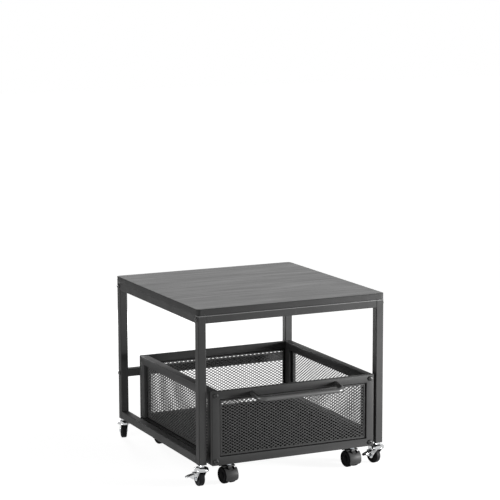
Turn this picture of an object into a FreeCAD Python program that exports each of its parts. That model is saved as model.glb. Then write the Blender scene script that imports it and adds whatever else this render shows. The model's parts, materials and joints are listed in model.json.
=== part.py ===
"""Stand for a small fridge: a board on a square-tube frame with casters, and a rolling mesh basket.

Millimetres. X runs to the right, Y to the back, Z up. The origin is on the floor under the board's centre.
"""
import FreeCAD, Part
import math
import os

import Sketcher

doc = FreeCAD.newDocument("FridgeStand")

# Driving sizes: alias, millimetres or degrees, what it measures
SIZES = [
    ("top_width", 500, "board, left to right"),
    ("top_depth", 520, "board, front to back"),
    ("top_thick", 15, "board thickness"),
    ("top_corner", 10, "radius of the board's four corners"),
    ("top_edge", 1, "rounding of the board's rim"),
    ("tube", 20, "square frame tube, outside"),
    ("tube_wall", 1.2, "wall of every tube"),
    ("tube_round", 2, "outside corner radius of the frame tube"),
    ("side_overhang", 2.5, "board past the legs, left and right"),
    ("end_overhang", 0.5, "board past the legs, front and back"),
    ("leg_length", 360, "leg, foot to board"),
    ("brace_rise", 111, "foot of the legs to the underside of the rear brace"),
    ("fit", 0.05, "radial clearance of a pin, bolt or axle in its hole"),
    ("plug_fit", 0.1, "clearance of a plug in a tube, each side"),
    ("bolt", 6, "bolt diameter"),
    ("bolt_head", 12, "button head diameter"),
    ("bolt_head_tall", 3.5, "button head height"),
    ("hex_key", 4, "socket in a button head, across flats"),
    ("hex_deep", 2.2, "depth of that socket"),
    ("bolt_bite", 12, "bolt past the piece it clamps"),
    ("nut_block", 16, "length of a nut block in a rail's end"),
    ("screw", 4, "board screw diameter"),
    ("screw_head", 8, "board screw head diameter"),
    ("screw_head_tall", 2.5, "board screw head height"),
    ("screw_cover", 6, "board left above a screw's tip"),
    ("screw_spread", 170, "board screws, from the middle of a side rail"),
    ("foot_plug", 24, "height of the threaded plug in a leg's foot"),
    ("stem", 8, "stand caster stem diameter"),
    ("stem_rise", 20, "stem above the foot of the leg"),
    ("stem_nut", 14, "stem nut, across flats"),
    ("stem_nut_tall", 5, "stem nut height"),
    ("race", 35, "raceway dome diameter"),
    ("race_tall", 7, "raceway dome height"),
    ("swivel_gap", 0.3, "running gap of a swivel"),
    ("fork_plate", 2.5, "fork's top plate thickness"),
    ("fork_room", 2.2, "fork's top plate above the wheel"),
    ("fork_sheet", 1.5, "fork arm thickness"),
    ("fork_boss", 6.5, "radius of a fork arm's rounded end"),
    ("fork_heel", 12, "fork arm ahead of the stem, at the plate"),
    ("fork_toe", 11, "fork arm behind the axle, at the plate"),
    ("kingpin", 6, "kingpin diameter"),
    ("kingpin_head", 12, "kingpin's peened head diameter"),
    ("kingpin_head_tall", 1.2, "kingpin's peened head height"),
    ("wheel", 38, "stand wheel diameter"),
    ("wheel_width", 14, "stand wheel tread width"),
    ("wheel_round", 3, "rounding of the stand wheel's tread"),
    ("wheel_dish", 1.5, "depth of the ring pressed into the wheel's sides"),
    ("wheel_hub", 7, "radius of the stand wheel's hub"),
    ("wheel_rim", 4, "stand wheel's rim, seen from the side"),
    ("wheel_side_gap", 1, "wheel to fork arm"),
    ("hub_side_gap", 0.3, "wheel hub to fork arm"),
    ("trail", 12, "stand caster stem to its axle"),
    ("axle", 5, "axle diameter"),
    ("axle_head", 8, "axle rivet head diameter"),
    ("axle_head_tall", 1.5, "axle rivet head height"),
    ("lever_reach", 37, "stem to the brake lever's tip"),
    ("lever_width", 14, "brake lever width"),
    ("lever_tip_round", 6, "corner radius of the brake lever's tip"),
    ("lever_sheet", 1.5, "brake lever thickness"),
    ("lever_drop", 6, "brake lever's tip below its pin"),
    ("lever_knee", 0.35, "share of that drop at the lever's knee"),
    ("lever_pin", 3, "brake lever pin diameter"),
    ("lever_pin_rise", 11.5, "brake lever pin above the axle"),
    ("lever_pin_out", 3, "brake lever pin outside the fork arm"),
    ("lever_ear", 2, "thickness of the ears that hold the pin"),
    ("lever_cheek", 12, "depth of the lever's side cheeks"),
    ("lever_finger", 7, "width of the finger that reaches the wheel"),
    ("lever_slot_tall", 8, "height of the finger's slot in the fork arm"),
    ("turn_front_left", 0, "rest angle of that stand caster"),
    ("turn_front_right", 15, "rest angle of that stand caster"),
    ("turn_rear_left", -14, "rest angle of that stand caster"),
    ("turn_rear_right", -10, "rest angle of that stand caster"),
    ("basket_side_gap", 10.5, "basket to the legs, each side"),
    ("basket_proud", 8, "basket's front ahead of the legs' front"),
    ("basket_rear_gap", 52, "basket's back to the rear brace"),
    ("basket_height", 180, "basket frame, bottom to top"),
    ("panel_bar", 20, "basket tube, seen from its panel's face"),
    ("end_bar", 10, "front and rear panels' tube, front to back"),
    ("side_bar", 20, "side panels' tube, left to right"),
    ("hem", 6, "flat strip round the mesh, width"),
    ("hem_thick", 3, "flat strip round the mesh, thickness"),
    ("mesh_thick", 1.5, "mesh thickness"),
    ("mesh_long", 36, "mesh opening pitch, level"),
    ("mesh_short", 18, "mesh opening pitch, upright"),
    ("mesh_strand", 3.2, "width of a mesh strand"),
    ("mesh_margin", 1.5, "plain mesh left along the strip"),
    ("floor_thick", 9, "basket floor thickness"),
    ("floor_gap", 1, "basket floor to the panels"),
    ("floor_bar", 16, "cross bar under the floor, front to back"),
    ("floor_bar_tall", 11, "cross bar under the floor, height"),
    ("handle_bar", 12, "handle bar diameter"),
    ("handle_span", 224, "between the handle's legs, centres"),
    ("handle_reach", 45, "handle bar's centre ahead of the panel"),
    ("handle_bend", 18, "handle's bend radius, centre line"),
    ("handle_tilt", 8, "handle slopes down by this angle"),
    ("handle_drop", 13, "handle's root below the panel's top edge"),
    ("handle_screw", 5, "handle screw diameter"),
    ("handle_screw_head", 9, "handle screw head diameter"),
    ("handle_screw_head_tall", 3, "handle screw head height"),
    ("handle_bite", 12, "handle screw into the handle"),
    ("bore_spare", 1, "blind bore past its screw's tip"),
    ("twin_wheel", 42, "basket wheel diameter"),
    ("twin_width", 11, "one basket wheel's width"),
    ("twin_round", 4.5, "rounding of a basket wheel's outer shoulder"),
    ("twin_cap", 8, "radius of the cap on a basket wheel"),
    ("twin_cap_groove", 1, "depth of the ring round that cap"),
    ("twin_skin", 2, "closed outer wall of a basket wheel's hub"),
    ("twin_trail", 6, "basket caster stem to its axle"),
    ("twin_spacing", 71, "stand caster's stem to the basket caster's, left to right"),
    ("twin_inset", 18.5, "basket caster's stem behind the panel's face"),
    ("twin_turn_front", 8, "rest angle of the front basket casters"),
    ("twin_turn_rear", 188, "rest angle of the rear basket casters"),
    ("hood_core", 10, "hood's middle wall between the wheels"),
    ("hood_side_gap", 0.5, "hood's middle wall to a wheel"),
    ("hood_hub", 13, "radius of the hood's middle wall round the axle"),
    ("hood_room", 1.2, "hood above the wheels"),
    ("hood_shell", 2.3, "hood thickness"),
    ("hood_lip", 60, "angle where the hood ends over the wheels, from level"),
    ("hood_wrap", 150, "angle that the hood covers"),
    ("hood_lip_round", 6, "rounding of the two corners of the hood's front lip"),
    ("hood_vee_tip", 13, "lowest point of the V in the hood's front, above the axle"),
    ("hood_vee_rise", 6, "how far that V climbs to each side"),
    ("hood_vee_back", 9, "end of the V under the hood's top, ahead of the axle"),
    ("hood_neck", 13, "length of the hood's neck round the stem"),
    ("hood_neck_rise", 1, "hood's neck above its shell"),
    ("twin_stem", 7, "basket caster stem diameter"),
    ("twin_stem_deep", 19.5, "stem inside the hood"),
    ("twin_collar", 14, "stem collar diameter"),
    ("twin_collar_tall", 5.2, "stem collar height"),
    ("twin_nut", 13, "stem nut, across flats"),
    ("twin_nut_tall", 5, "stem nut height"),
    ("twin_tip", 3.2, "stem past its nut"),
]

sheet = doc.addObject("Spreadsheet::Sheet", "Dim")
for row, (alias, value, meaning) in enumerate(SIZES, start=1):
    sheet.set(f"A{row}", alias)
    sheet.set(f"B{row}", str(value))
    sheet.setAlias(f"B{row}", alias)
    sheet.set(f"C{row}", meaning)
doc.recompute()

# Places worked out from the sizes
LEG_X = "(Dim.top_width / 2 - Dim.side_overhang - Dim.tube / 2)"
LEG_Y = "(Dim.top_depth / 2 - Dim.end_overhang - Dim.tube / 2)"
INNER_X = f"({LEG_X} - Dim.tube / 2)"
INNER_Y = f"({LEG_Y} - Dim.tube / 2)"

WHEEL_R = "(Dim.wheel / 2)"
PLATE_LOW = "(Dim.wheel + Dim.fork_room)"
PLATE_TOP = f"({PLATE_LOW} + Dim.fork_plate)"
RACE_LOW = f"({PLATE_TOP} + Dim.swivel_gap)"
NUT_LOW = f"({RACE_LOW} + Dim.race_tall)"
FOOT_Z = f"({NUT_LOW} + Dim.stem_nut_tall)"
BOARD_Z = f"({FOOT_Z} + Dim.leg_length)"
TOP_RAIL_Z = f"({BOARD_Z} - Dim.tube / 2)"
LOW_RAIL_Z = f"({FOOT_Z} + Dim.tube / 2)"
BRACE_Z = f"({FOOT_Z} + Dim.brace_rise + Dim.tube / 2)"

FORK_GAP = "(Dim.wheel_width + 2 * Dim.wheel_side_gap)"
FORK_OUT = f"({FORK_GAP} / 2 + Dim.fork_sheet)"
LEVER_U = f"({FORK_OUT} + Dim.lever_pin_out)"
LEVER_Z = f"({WHEEL_R} + Dim.lever_pin_rise)"

HOOD_TOP = "(Dim.twin_wheel + Dim.hood_room + Dim.hood_shell + Dim.hood_neck_rise)"
COLLAR_LOW = f"({HOOD_TOP} + Dim.swivel_gap)"
BASKET_Z = f"({COLLAR_LOW} + Dim.twin_collar_tall)"
BASKET_TOP = f"({BASKET_Z} + Dim.basket_height)"
BASKET_X = f"({INNER_X} - Dim.basket_side_gap)"
BASKET_FRONT = f"(0 - {LEG_Y} - Dim.tube / 2 - Dim.basket_proud)"
BASKET_BACK = f"({INNER_Y} - Dim.basket_rear_gap)"
BASKET_MID_Y = f"(({BASKET_FRONT} + {BASKET_BACK}) / 2)"
SIDE_LENGTH = f"({BASKET_BACK} - {BASKET_FRONT} - 2 * Dim.end_bar)"
SIDE_PANEL_X = f"({BASKET_X} - Dim.side_bar / 2)"
FLOOR_Z = f"({BASKET_Z} + Dim.floor_bar_tall)"
BOLT_ROW_X = f"({BASKET_X} - Dim.side_bar / 2)"
BOLT_ROWS_Z = (f"({BASKET_Z} + Dim.panel_bar / 2)", f"({BASKET_TOP} - Dim.panel_bar / 2)")
HANDLE_Z = f"({BASKET_TOP} - Dim.handle_drop)"
TWIN_X = f"({LEG_X} - Dim.twin_spacing)"
TWIN_ROWS_Y = {"front": f"({BASKET_FRONT} + Dim.twin_inset)", "rear": f"({BASKET_BACK} - Dim.twin_inset)"}
TWIN_GAP = "(Dim.hood_core + 2 * Dim.hood_side_gap)"
TWIN_R = "(Dim.twin_wheel / 2)"

SIDES = {"left": -1, "right": 1}
ROWS = {"front": -1, "rear": 1}
X_AXIS = FreeCAD.Vector(1, 0, 0)
Y_AXIS = FreeCAD.Vector(0, 1, 0)
Z_AXIS = FreeCAD.Vector(0, 0, 1)
FULL_TURN = 360
HEXAGON = 6
# How far a cutter runs past what it cuts
SLACK = 10
# Profiles of rounded heads: share of the height, share of the radius
BUTTON_CROWN = ((1, 0.56), (0.7, 0.84), (0.25, 1))
PAN_CROWN = ((1, 0.8), (0.6, 1))
DOME_CROWN = ((0.3, 1), (0.6, 0.9), (0.85, 0.7), (1, 0.45))
nodes = []


def num(expression):
    """The present value of an expression on the sheet."""
    return float(sheet.evalExpression(expression))


def node(thing):
    """Marks a finished sub-part."""
    nodes.append(thing)
    return thing


def add(kind, name, **sizes):
    """A primitive whose sizes are bound to expressions."""
    thing = doc.addObject(kind, name)
    for size, expression in sizes.items():
        thing.setExpression(size, expression)
    return thing


def place(thing, x="0", y="0", z="0", axis=Z_AXIS, angle="0"):
    """Puts a thing at bound coordinates, turned about an axis by a bound angle."""
    thing.Placement.Rotation = FreeCAD.Rotation(axis, num(angle))
    for way, expression in zip("xyz", (x, y, z)):
        thing.setExpression(f"Placement.Base.{way}", expression)
    if num(angle):
        thing.setExpression("Placement.Rotation.Angle", f"({angle}) * 1deg")
    return thing


def box(name, low, size):
    """A block from its lowest corner and its three sizes."""
    return place(add("Part::Box", name, Length=size[0], Width=size[1], Height=size[2]), *low)


def middle_box(name, centre, size):
    """A block from its centre and its three sizes."""
    low = [f"({c} - ({s}) / 2)" for c, s in zip(centre, size)]
    return box(name, low, size)


def rod(name, radius, length, x="0", y="0", z="0", way="Z"):
    """A cylinder that starts at a point and runs along +X, -Y or +Z."""
    thing = add("Part::Cylinder", name, Radius=radius, Height=length)
    axis, angle = {"X": (Y_AXIS, "90"), "Y": (X_AXIS, "90"), "Z": (Z_AXIS, "0")}[way]
    return place(thing, x, y, z, axis, angle)


def fuse(name, things):
    """Several overlapping pieces as one solid."""
    thing = doc.addObject("Part::MultiFuse", name)
    thing.Shapes = things
    thing.Refine = True
    return thing


def cut(name, base, tools):
    """A piece with others taken out of it."""
    thing = doc.addObject("Part::Cut", name)
    thing.Base = base
    thing.Tool = tools[0] if len(tools) == 1 else fuse(f"{name}_cutters", tools)
    return thing


def group(name, things):
    """Identical pieces that share one node."""
    thing = doc.addObject("Part::Compound", name)
    thing.Links = things
    return node(thing)


def new_body(name):
    return doc.addObject("PartDesign::Body", name)


def sketch_on(body, role, name):
    """An empty sketch on one of the body's own origin planes."""
    sketch = body.newObject("Sketcher::SketchObject", f"{body.Name}_{name}")
    plane = next(f for f in body.Origin.OriginFeatures if f.Role == role)
    sketch.AttachmentSupport = [(plane, "")]
    sketch.MapMode = "FlatFace"
    return sketch


def pin_point(sketch, line, end, across, up):
    """Ties one point of a sketch to its bound coordinates."""
    for kind, expression in (("DistanceX", across), ("DistanceY", up)):
        index = sketch.addConstraint(Sketcher.Constraint(kind, -1, 1, line, end, num(expression)))
        sketch.setExpression(f"Constraints[{index}]", expression)


def outline(sketch, points):
    """A closed outline of straight lines through bound points."""
    corners = [FreeCAD.Vector(num(a), num(b), 0) for a, b in points]
    first = sketch.GeometryCount
    count = len(points)
    for i in range(count):
        sketch.addGeometry(Part.LineSegment(corners[i], corners[(i + 1) % count]))
    for i in range(count):
        sketch.addConstraint(Sketcher.Constraint("Coincident", first + i, 2, first + (i + 1) % count, 1))
        pin_point(sketch, first + i, 1, *points[i])


def rectangle(sketch, wide, tall):
    """A rectangle about the sketch's origin."""
    a, b = f"({wide}) / 2", f"({tall}) / 2"
    outline(sketch, [(f"0 - {a}", f"0 - {b}"), (a, f"0 - {b}"), (a, b), (f"0 - {a}", b)])


def pad(body, sketch, length):
    """Thickens a sketch evenly to both sides of its plane."""
    feature = body.newObject("PartDesign::Pad", f"{body.Name}_pad")
    feature.Profile = sketch
    feature.SideType = "Symmetric"
    feature.setExpression("Length", length)
    return feature


def drill(body, role, spots, diameter):
    """Holes right through a body, square to one of its planes."""
    sketch = sketch_on(body, role, "holes")
    radius = f"({diameter}) / 2"
    for across, up in spots:
        centre = FreeCAD.Vector(num(across), num(up), 0)
        circle = sketch.addGeometry(Part.Circle(centre, Z_AXIS, num(radius)))
        index = sketch.addConstraint(Sketcher.Constraint("Radius", circle, num(radius)))
        sketch.setExpression(f"Constraints[{index}]", radius)
        pin_point(sketch, circle, 3, across, up)
    feature = body.newObject("PartDesign::Pocket", f"{body.Name}_drill")
    feature.Profile = sketch
    feature.Type = "ThroughAll"
    feature.SideType = "Symmetric"
    return feature


def round_off(body, base, radius, wanted):
    """Rounds the edges of a feature that the test picks."""
    doc.recompute()
    picked = [f"Edge{i}" for i, edge in enumerate(base.Shape.Edges, start=1) if wanted(edge)]
    feature = body.newObject("PartDesign::Fillet", f"{body.Name}_{base.Name}_round")
    feature.Base = (base, picked)
    feature.setExpression("Radius", radius)
    return feature


def turned(name, profile, upright=False):
    """A lathe-turned piece: (along, radius) about X or, upright, (radius, height) about Z."""
    body = new_body(name)
    sketch = sketch_on(body, "XZ_Plane" if upright else "XY_Plane", "profile")
    outline(sketch, profile)
    feature = body.newObject("PartDesign::Revolution", f"{name}_turn")
    feature.Profile = sketch
    feature.ReferenceAxis = (sketch, ["V_Axis" if upright else "H_Axis"])
    feature.Angle = FULL_TURN
    return body


def is_ring(edge, radius, along=None):
    """True for a full circle about X of this radius, at this place along X."""
    curve = edge.Curve
    if not isinstance(curve, Part.Circle) or abs(curve.Radius - radius) > 1e-6:
        return False
    return along is None or abs(curve.Center.x - along) < 1e-6


def square_tube(name, run, length, wide="Dim.tube", tall="Dim.tube", rounding="Dim.tube_round"):
    """A hollow tube along X, Y or Z, centred on its own origin, with rounded outside corners."""
    role, way = {"X": ("YZ_Plane", X_AXIS), "Y": ("XZ_Plane", Y_AXIS), "Z": ("XY_Plane", Z_AXIS)}[run]
    body = new_body(name)
    profile = sketch_on(body, role, "profile")
    rectangle(profile, wide, tall)
    rectangle(profile, f"({wide} - 2 * Dim.tube_wall)", f"({tall} - 2 * Dim.tube_wall)")
    solid = pad(body, profile, length)
    half = math.hypot(num(wide), num(tall)) / 2

    def outside_corner(edge):
        middle = edge.CenterOfMass
        along = middle.dot(way)
        is_long = edge.Length > num(length) - 1e-6 and abs(along) < 1e-6
        return is_long and abs((middle - way * along).Length - half) < 1e-6

    round_off(body, solid, rounding, outside_corner)
    return body


def button_bolt(name, shank):
    """A button-head bolt along +X from the face under its head, with a hexagon socket."""
    head, tall, stem = "(Dim.bolt_head / 2)", "Dim.bolt_head_tall", "Dim.bolt / 2"
    crown = [(f"0 - {tall} * {up}", f"{head} * {out}") for up, out in BUTTON_CROWN]
    blank = turned(f"{name}_blank", [(f"0 - {tall}", "0")] + crown + [
        ("0", head), ("0", stem), (shank, stem), (shank, "0")])
    socket = add("Part::Prism", f"{name}_socket", Circumradius="Dim.hex_key / sqrt(3)", Height="Dim.hex_deep")
    socket.Polygon = HEXAGON
    place(socket, x=f"0 - {tall}", axis=Y_AXIS, angle="90")
    return cut(name, blank, [socket])


def pan_screw(name, head, head_tall, stem, shank):
    """A flat-topped screw along +X from the face under its head."""
    crown = [(f"0 - {head_tall} * {up}", f"{head} / 2 * {out}") for up, out in PAN_CROWN]
    return turned(name, [(f"0 - {head_tall}", "0")] + crown + [
        ("0", f"{head} / 2"), ("0", f"{stem} / 2"), (shank, f"{stem} / 2"), (shank, "0")])


def board():
    """Tabletop with rounded corners and pilot holes for its screws."""
    body = new_body("tabletop_blank")
    profile = sketch_on(body, "XY_Plane", "profile")
    rectangle(profile, "Dim.top_width", "Dim.top_depth")
    solid = pad(body, profile, "Dim.top_thick")
    rounded = round_off(body, solid, "Dim.top_corner", lambda edge: abs(edge.CenterOfMass.z) < 1e-6)
    half = num("Dim.top_thick / 2")
    round_off(body, rounded, "Dim.top_edge", lambda edge: abs(abs(edge.CenterOfMass.z) - half) < 1e-6)
    place(body, z=f"{BOARD_Z} + Dim.top_thick / 2")
    pilots = [rod(f"pilot_{i}", "Dim.screw / 2 + Dim.fit", "Dim.top_thick - Dim.screw_cover", x, y, BOARD_Z)
              for i, (x, y) in enumerate(screw_spots())]
    node(cut("tabletop", body, pilots))


def screw_spots():
    """Where the board screws stand."""
    offsets = ("0 - Dim.screw_spread", "0", "Dim.screw_spread")
    return [(f"{sign} * {LEG_X}", offset) for sign in SIDES.values() for offset in offsets]


def legs():
    """Four legs, drilled from side to side for the bolts."""
    mid_z = f"({FOOT_Z} + Dim.leg_length / 2)"
    for row, back in ROWS.items():
        for side, sign in SIDES.items():
            leg = square_tube(f"{row}_{side}_leg", "Z", "Dim.leg_length")
            heights = [TOP_RAIL_Z] + ([BRACE_Z] if row == "rear" else [])
            drill(leg, "YZ_Plane", [("0", f"{h} - {mid_z}") for h in heights], "Dim.bolt + 2 * Dim.fit")
            node(place(leg, f"{sign} * {LEG_X}", f"{back} * {LEG_Y}", mid_z))


def rails():
    """Side rails between the legs, and the bolted cross rails."""
    across, along = f"(2 * {INNER_X})", f"(2 * {INNER_Y})"
    for side, sign in SIDES.items():
        top = square_tube(f"{side}_top_rail", "Y", along)
        drill(top, "XY_Plane", [("0", y) for x, y in screw_spots()[:3]], "Dim.screw + 2 * Dim.fit")
        node(place(top, f"{sign} * {LEG_X}", "0", TOP_RAIL_Z))
        node(place(square_tube(f"{side}_low_rail", "Y", along), f"{sign} * {LEG_X}", "0", LOW_RAIL_Z))
    node(place(square_tube("front_rail", "X", across), "0", f"0 - {LEG_Y}", TOP_RAIL_Z))
    node(place(square_tube("rear_rail", "X", across), "0", LEG_Y, TOP_RAIL_Z))
    node(place(square_tube("rear_brace", "X", across), "0", LEG_Y, BRACE_Z))


def frame_fasteners():
    """Bolts through the legs, the nut blocks that they screw into, and the board screws."""
    joints = [("front", f"0 - {LEG_Y}", TOP_RAIL_Z), ("rear", LEG_Y, TOP_RAIL_Z), ("brace", LEG_Y, BRACE_Z)]
    inner = "(Dim.tube - 2 * Dim.tube_wall - 2 * Dim.plug_fit)"
    bolts, blocks = [], []
    for rail, y, z in joints:
        for side, sign in SIDES.items():
            bolt = button_bolt(f"bolt_{rail}_{side}", "Dim.tube + Dim.bolt_bite")
            face = f"{sign} * ({LEG_X} + Dim.tube / 2)"
            bolts.append(place(bolt, face, y, z, Z_AXIS, "180" if sign > 0 else "0"))
            middle = f"{sign} * ({INNER_X} - Dim.nut_block / 2)"
            block = middle_box(f"block_{rail}_{side}", (middle, y, z), ("Dim.nut_block", inner, inner))
            hole = rod(f"block_hole_{rail}_{side}", "Dim.bolt / 2 + Dim.fit", "Dim.nut_block",
                       f"{middle} - Dim.nut_block / 2", y, z, "X")
            blocks.append(cut(f"nut_{rail}_{side}", block, [hole]))
    group("frame_bolts", bolts)
    group("rail_nuts", blocks)
    length = "Dim.tube + Dim.top_thick - Dim.screw_cover"
    screws = []
    for i, (x, y) in enumerate(screw_spots()):
        screw = pan_screw(f"screw_{i}", "Dim.screw_head", "Dim.screw_head_tall", "Dim.screw", length)
        screws.append(place(screw, x, y, f"{BOARD_Z} - Dim.tube", Y_AXIS, "-90"))
    group("tabletop_screws", screws)


def feet():
    """Plugs in the legs' feet, and the casters' stems with nut, raceway and kingpin."""
    inner = "(Dim.tube - 2 * Dim.tube_wall - 2 * Dim.plug_fit)"
    plugs, stems = [], []
    for row, back in ROWS.items():
        for side, sign in SIDES.items():
            x, y = f"{sign} * {LEG_X}", f"{back} * {LEG_Y}"
            spot = f"{row}_{side}"
            plug = middle_box(f"plug_{spot}", (x, y, f"{FOOT_Z} + Dim.foot_plug / 2"),
                              (inner, inner, "Dim.foot_plug"))
            thread = rod(f"thread_{spot}", "Dim.stem / 2 + Dim.fit", "Dim.foot_plug", x, y, FOOT_Z)
            plugs.append(cut(f"foot_plug_{spot}", plug, [thread]))
            stems.append(place(caster_stem(f"stem_{spot}"), x, y))
    group("foot_plugs", plugs)
    group("stand_caster_stems", stems)


def caster_stem(name):
    """Stem, hexagon nut, dome and kingpin of a stand caster, about its own axis."""
    head_top = f"({PLATE_LOW} - Dim.swivel_gap)"
    head_low = f"({head_top} - Dim.kingpin_head_tall)"
    tip = f"({FOOT_Z} + Dim.stem_rise)"
    dome = "(Dim.race / 2)"
    crown = [(f"{dome} * {out}", f"{RACE_LOW} + Dim.race_tall * {up}") for up, out in DOME_CROWN]
    core = turned(f"{name}_core", [
        ("0", head_low), ("Dim.kingpin_head / 2", head_low), ("Dim.kingpin_head / 2", head_top),
        ("Dim.kingpin / 2", head_top), ("Dim.kingpin / 2", RACE_LOW), (dome, RACE_LOW)] + crown + [
        ("Dim.stem / 2", NUT_LOW), ("Dim.stem / 2", tip), ("0", tip)], upright=True)
    nut = add("Part::Prism", f"{name}_nut", Circumradius="Dim.stem_nut / sqrt(3)", Height="Dim.stem_nut_tall")
    nut.Polygon = HEXAGON
    place(nut, z=NUT_LOW)
    return fuse(name, [core, nut])


def fork(name, braked):
    """Fork of a stand caster, about its stem, with the wheel behind it along +Y."""
    outer = f"(2 * {FORK_OUT})"
    arms = new_body(f"{name}_arms")
    profile = sketch_on(arms, "YZ_Plane", "profile")
    outline(profile, [
        ("0 - Dim.fork_heel", PLATE_LOW), ("0 - Dim.fork_heel", PLATE_TOP),
        ("Dim.trail + Dim.fork_toe", PLATE_TOP), ("Dim.trail + Dim.fork_toe", PLATE_LOW),
        ("Dim.trail + Dim.fork_boss", WHEEL_R), ("Dim.trail - Dim.fork_boss", WHEEL_R)])
    pad(arms, profile, outer)
    boss = rod(f"{name}_boss", "Dim.fork_boss", outer, f"0 - {FORK_OUT}", "Dim.trail", WHEEL_R, "X")
    plate = rod(f"{name}_plate", "Dim.race / 2", "Dim.fork_plate", z=PLATE_LOW)
    solids = [arms, boss, plate]
    length = "(Dim.trail + Dim.race + Dim.wheel)"
    gap = middle_box(f"{name}_gap", ("0", "0", f"{PLATE_LOW} / 2"), (FORK_GAP, f"2 * {length}", PLATE_LOW))
    axle_hole = rod(f"{name}_axle_hole", "Dim.axle / 2 + Dim.fit", f"2 * {outer}", f"0 - {outer}",
                    "Dim.trail", WHEEL_R, "X")
    king_hole = rod(f"{name}_king_hole", "Dim.kingpin / 2 + Dim.fit", f"2 * {PLATE_TOP}")
    cutters = [gap, axle_hole, king_hole]
    if braked:
        solids += lever_ears(name)
        cutters += lever_cutters(name)
    return cut(name, fuse(f"{name}_blank", solids), cutters)


def lever_ears(name):
    """Two ears on the fork's left arm that hold the brake lever's pin."""
    size = "(Dim.lever_pin * 2)"
    ears = []
    for end, sign in (("near", -1), ("far", 1)):
        y = f"(Dim.trail + {sign} * (Dim.lever_width / 2 + Dim.swivel_gap + Dim.lever_ear / 2))"
        root = f"({FORK_GAP} / 2)"
        reach = f"({LEVER_U} + {size} / 2 - {root})"
        x = f"(0 - {root} - {reach} / 2)"
        ears.append(middle_box(f"{name}_ear_{end}", (x, y, LEVER_Z), (reach, "Dim.lever_ear", size)))
    return ears


def lever_cutters(name):
    """The pin's hole through the ears and the finger's slot in the fork's arm."""
    long = "(2 * Dim.lever_width)"
    hole = rod(f"{name}_pin_hole", "Dim.lever_pin / 2 + Dim.fit", long, f"0 - {LEVER_U}",
               f"Dim.trail + {long} / 2", LEVER_Z, "Y")
    x = f"(0 - {FORK_OUT} + Dim.fork_sheet / 2)"
    slot = middle_box(f"{name}_slot", (x, "Dim.trail", LEVER_Z),
                      ("2 * Dim.fork_sheet", "Dim.lever_finger + 2 * Dim.swivel_gap", "Dim.lever_slot_tall"))
    return [hole, slot]


def tip_corners(name):
    """What is taken off the brake lever's tip to round its two corners."""
    radius, tall = "Dim.lever_tip_round", "(4 * Dim.lever_drop)"
    side = f"({radius} + Dim.lever_sheet)"
    corners = []
    for end, sign in (("near", -1), ("far", 1)):
        x = f"({radius} - Dim.lever_reach)"
        y = f"(Dim.trail + {sign} * (Dim.lever_width / 2 - {radius}))"
        block = middle_box(f"{name}_tip_{end}", (f"{x} - {side} / 2", f"{y} + {sign} * {side} / 2", LEVER_Z),
                           (side, side, tall))
        kept = rod(f"{name}_tip_round_{end}", radius, tall, x, y, f"{LEVER_Z} - {tall} / 2")
        corners.append(cut(f"{name}_tip_corner_{end}", block, [kept]))
    return corners


def brake_lever(name):
    """Side brake lever: pin, sloping blade with cheeks, and the finger that presses the wheel."""
    pin_long = "(Dim.lever_width + 2 * Dim.swivel_gap + 2 * Dim.lever_ear)"
    pin = rod(f"{name}_pin", "Dim.lever_pin / 2", pin_long, f"0 - {LEVER_U}",
              f"Dim.trail + {pin_long} / 2", LEVER_Z, "Y")
    half = "Dim.lever_sheet / 2"
    knee_x, knee_z = f"(({LEVER_U} + Dim.lever_reach) / 2)", f"({LEVER_Z} - Dim.lever_drop * Dim.lever_knee)"
    tip_z = f"({LEVER_Z} - Dim.lever_drop)"
    blade = new_body(f"{name}_blade")
    outline(sketch_on(blade, "XZ_Plane", "profile"), [
        (f"0 - {LEVER_U}", f"{LEVER_Z} - {half}"), (f"0 - {LEVER_U}", f"{LEVER_Z} + {half}"),
        (f"0 - {knee_x}", f"{knee_z} + {half}"), ("0 - Dim.lever_reach", f"{tip_z} + {half}"),
        ("0 - Dim.lever_reach", f"{tip_z} - {half}"), (f"0 - {knee_x}", f"{knee_z} - {half}")])
    pad(blade, doc.getObject(f"{name}_blade_profile"), "Dim.lever_width")
    place(blade, y="Dim.trail")
    tipped = cut(f"{name}_tipped", blade, tip_corners(name))
    finger_long = f"({LEVER_U} - Dim.wheel_width / 2 - 2 * Dim.swivel_gap)"
    finger = middle_box(f"{name}_finger", (f"(0 - {LEVER_U} + {finger_long} / 2)", "Dim.trail", LEVER_Z),
                        (finger_long, "Dim.lever_finger", "Dim.lever_sheet"))
    end_x = "(Dim.lever_reach - Dim.lever_tip_round)"
    end_z = f"({tip_z} + ({knee_z} - {tip_z}) * Dim.lever_tip_round / (Dim.lever_reach - {knee_x}))"
    cheeks = []
    for end, sign in (("near", -1), ("far", 1)):
        cheek = new_body(f"{name}_cheek_{end}")
        outline(sketch_on(cheek, "XZ_Plane", "profile"), [
            (f"0 - {LEVER_U} - Dim.lever_pin / 2", LEVER_Z), (f"0 - {knee_x}", knee_z),
            (f"0 - {end_x}", end_z), (f"0 - {LEVER_U} - 2 * Dim.lever_pin", f"{LEVER_Z} - Dim.lever_cheek")])
        pad(cheek, doc.getObject(f"{name}_cheek_{end}_profile"), "Dim.lever_sheet")
        cheeks.append(place(cheek, y=f"Dim.trail + {sign} * (Dim.lever_width - Dim.lever_sheet) / 2"))
    return fuse(name, [pin, tipped, finger] + cheeks)


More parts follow.
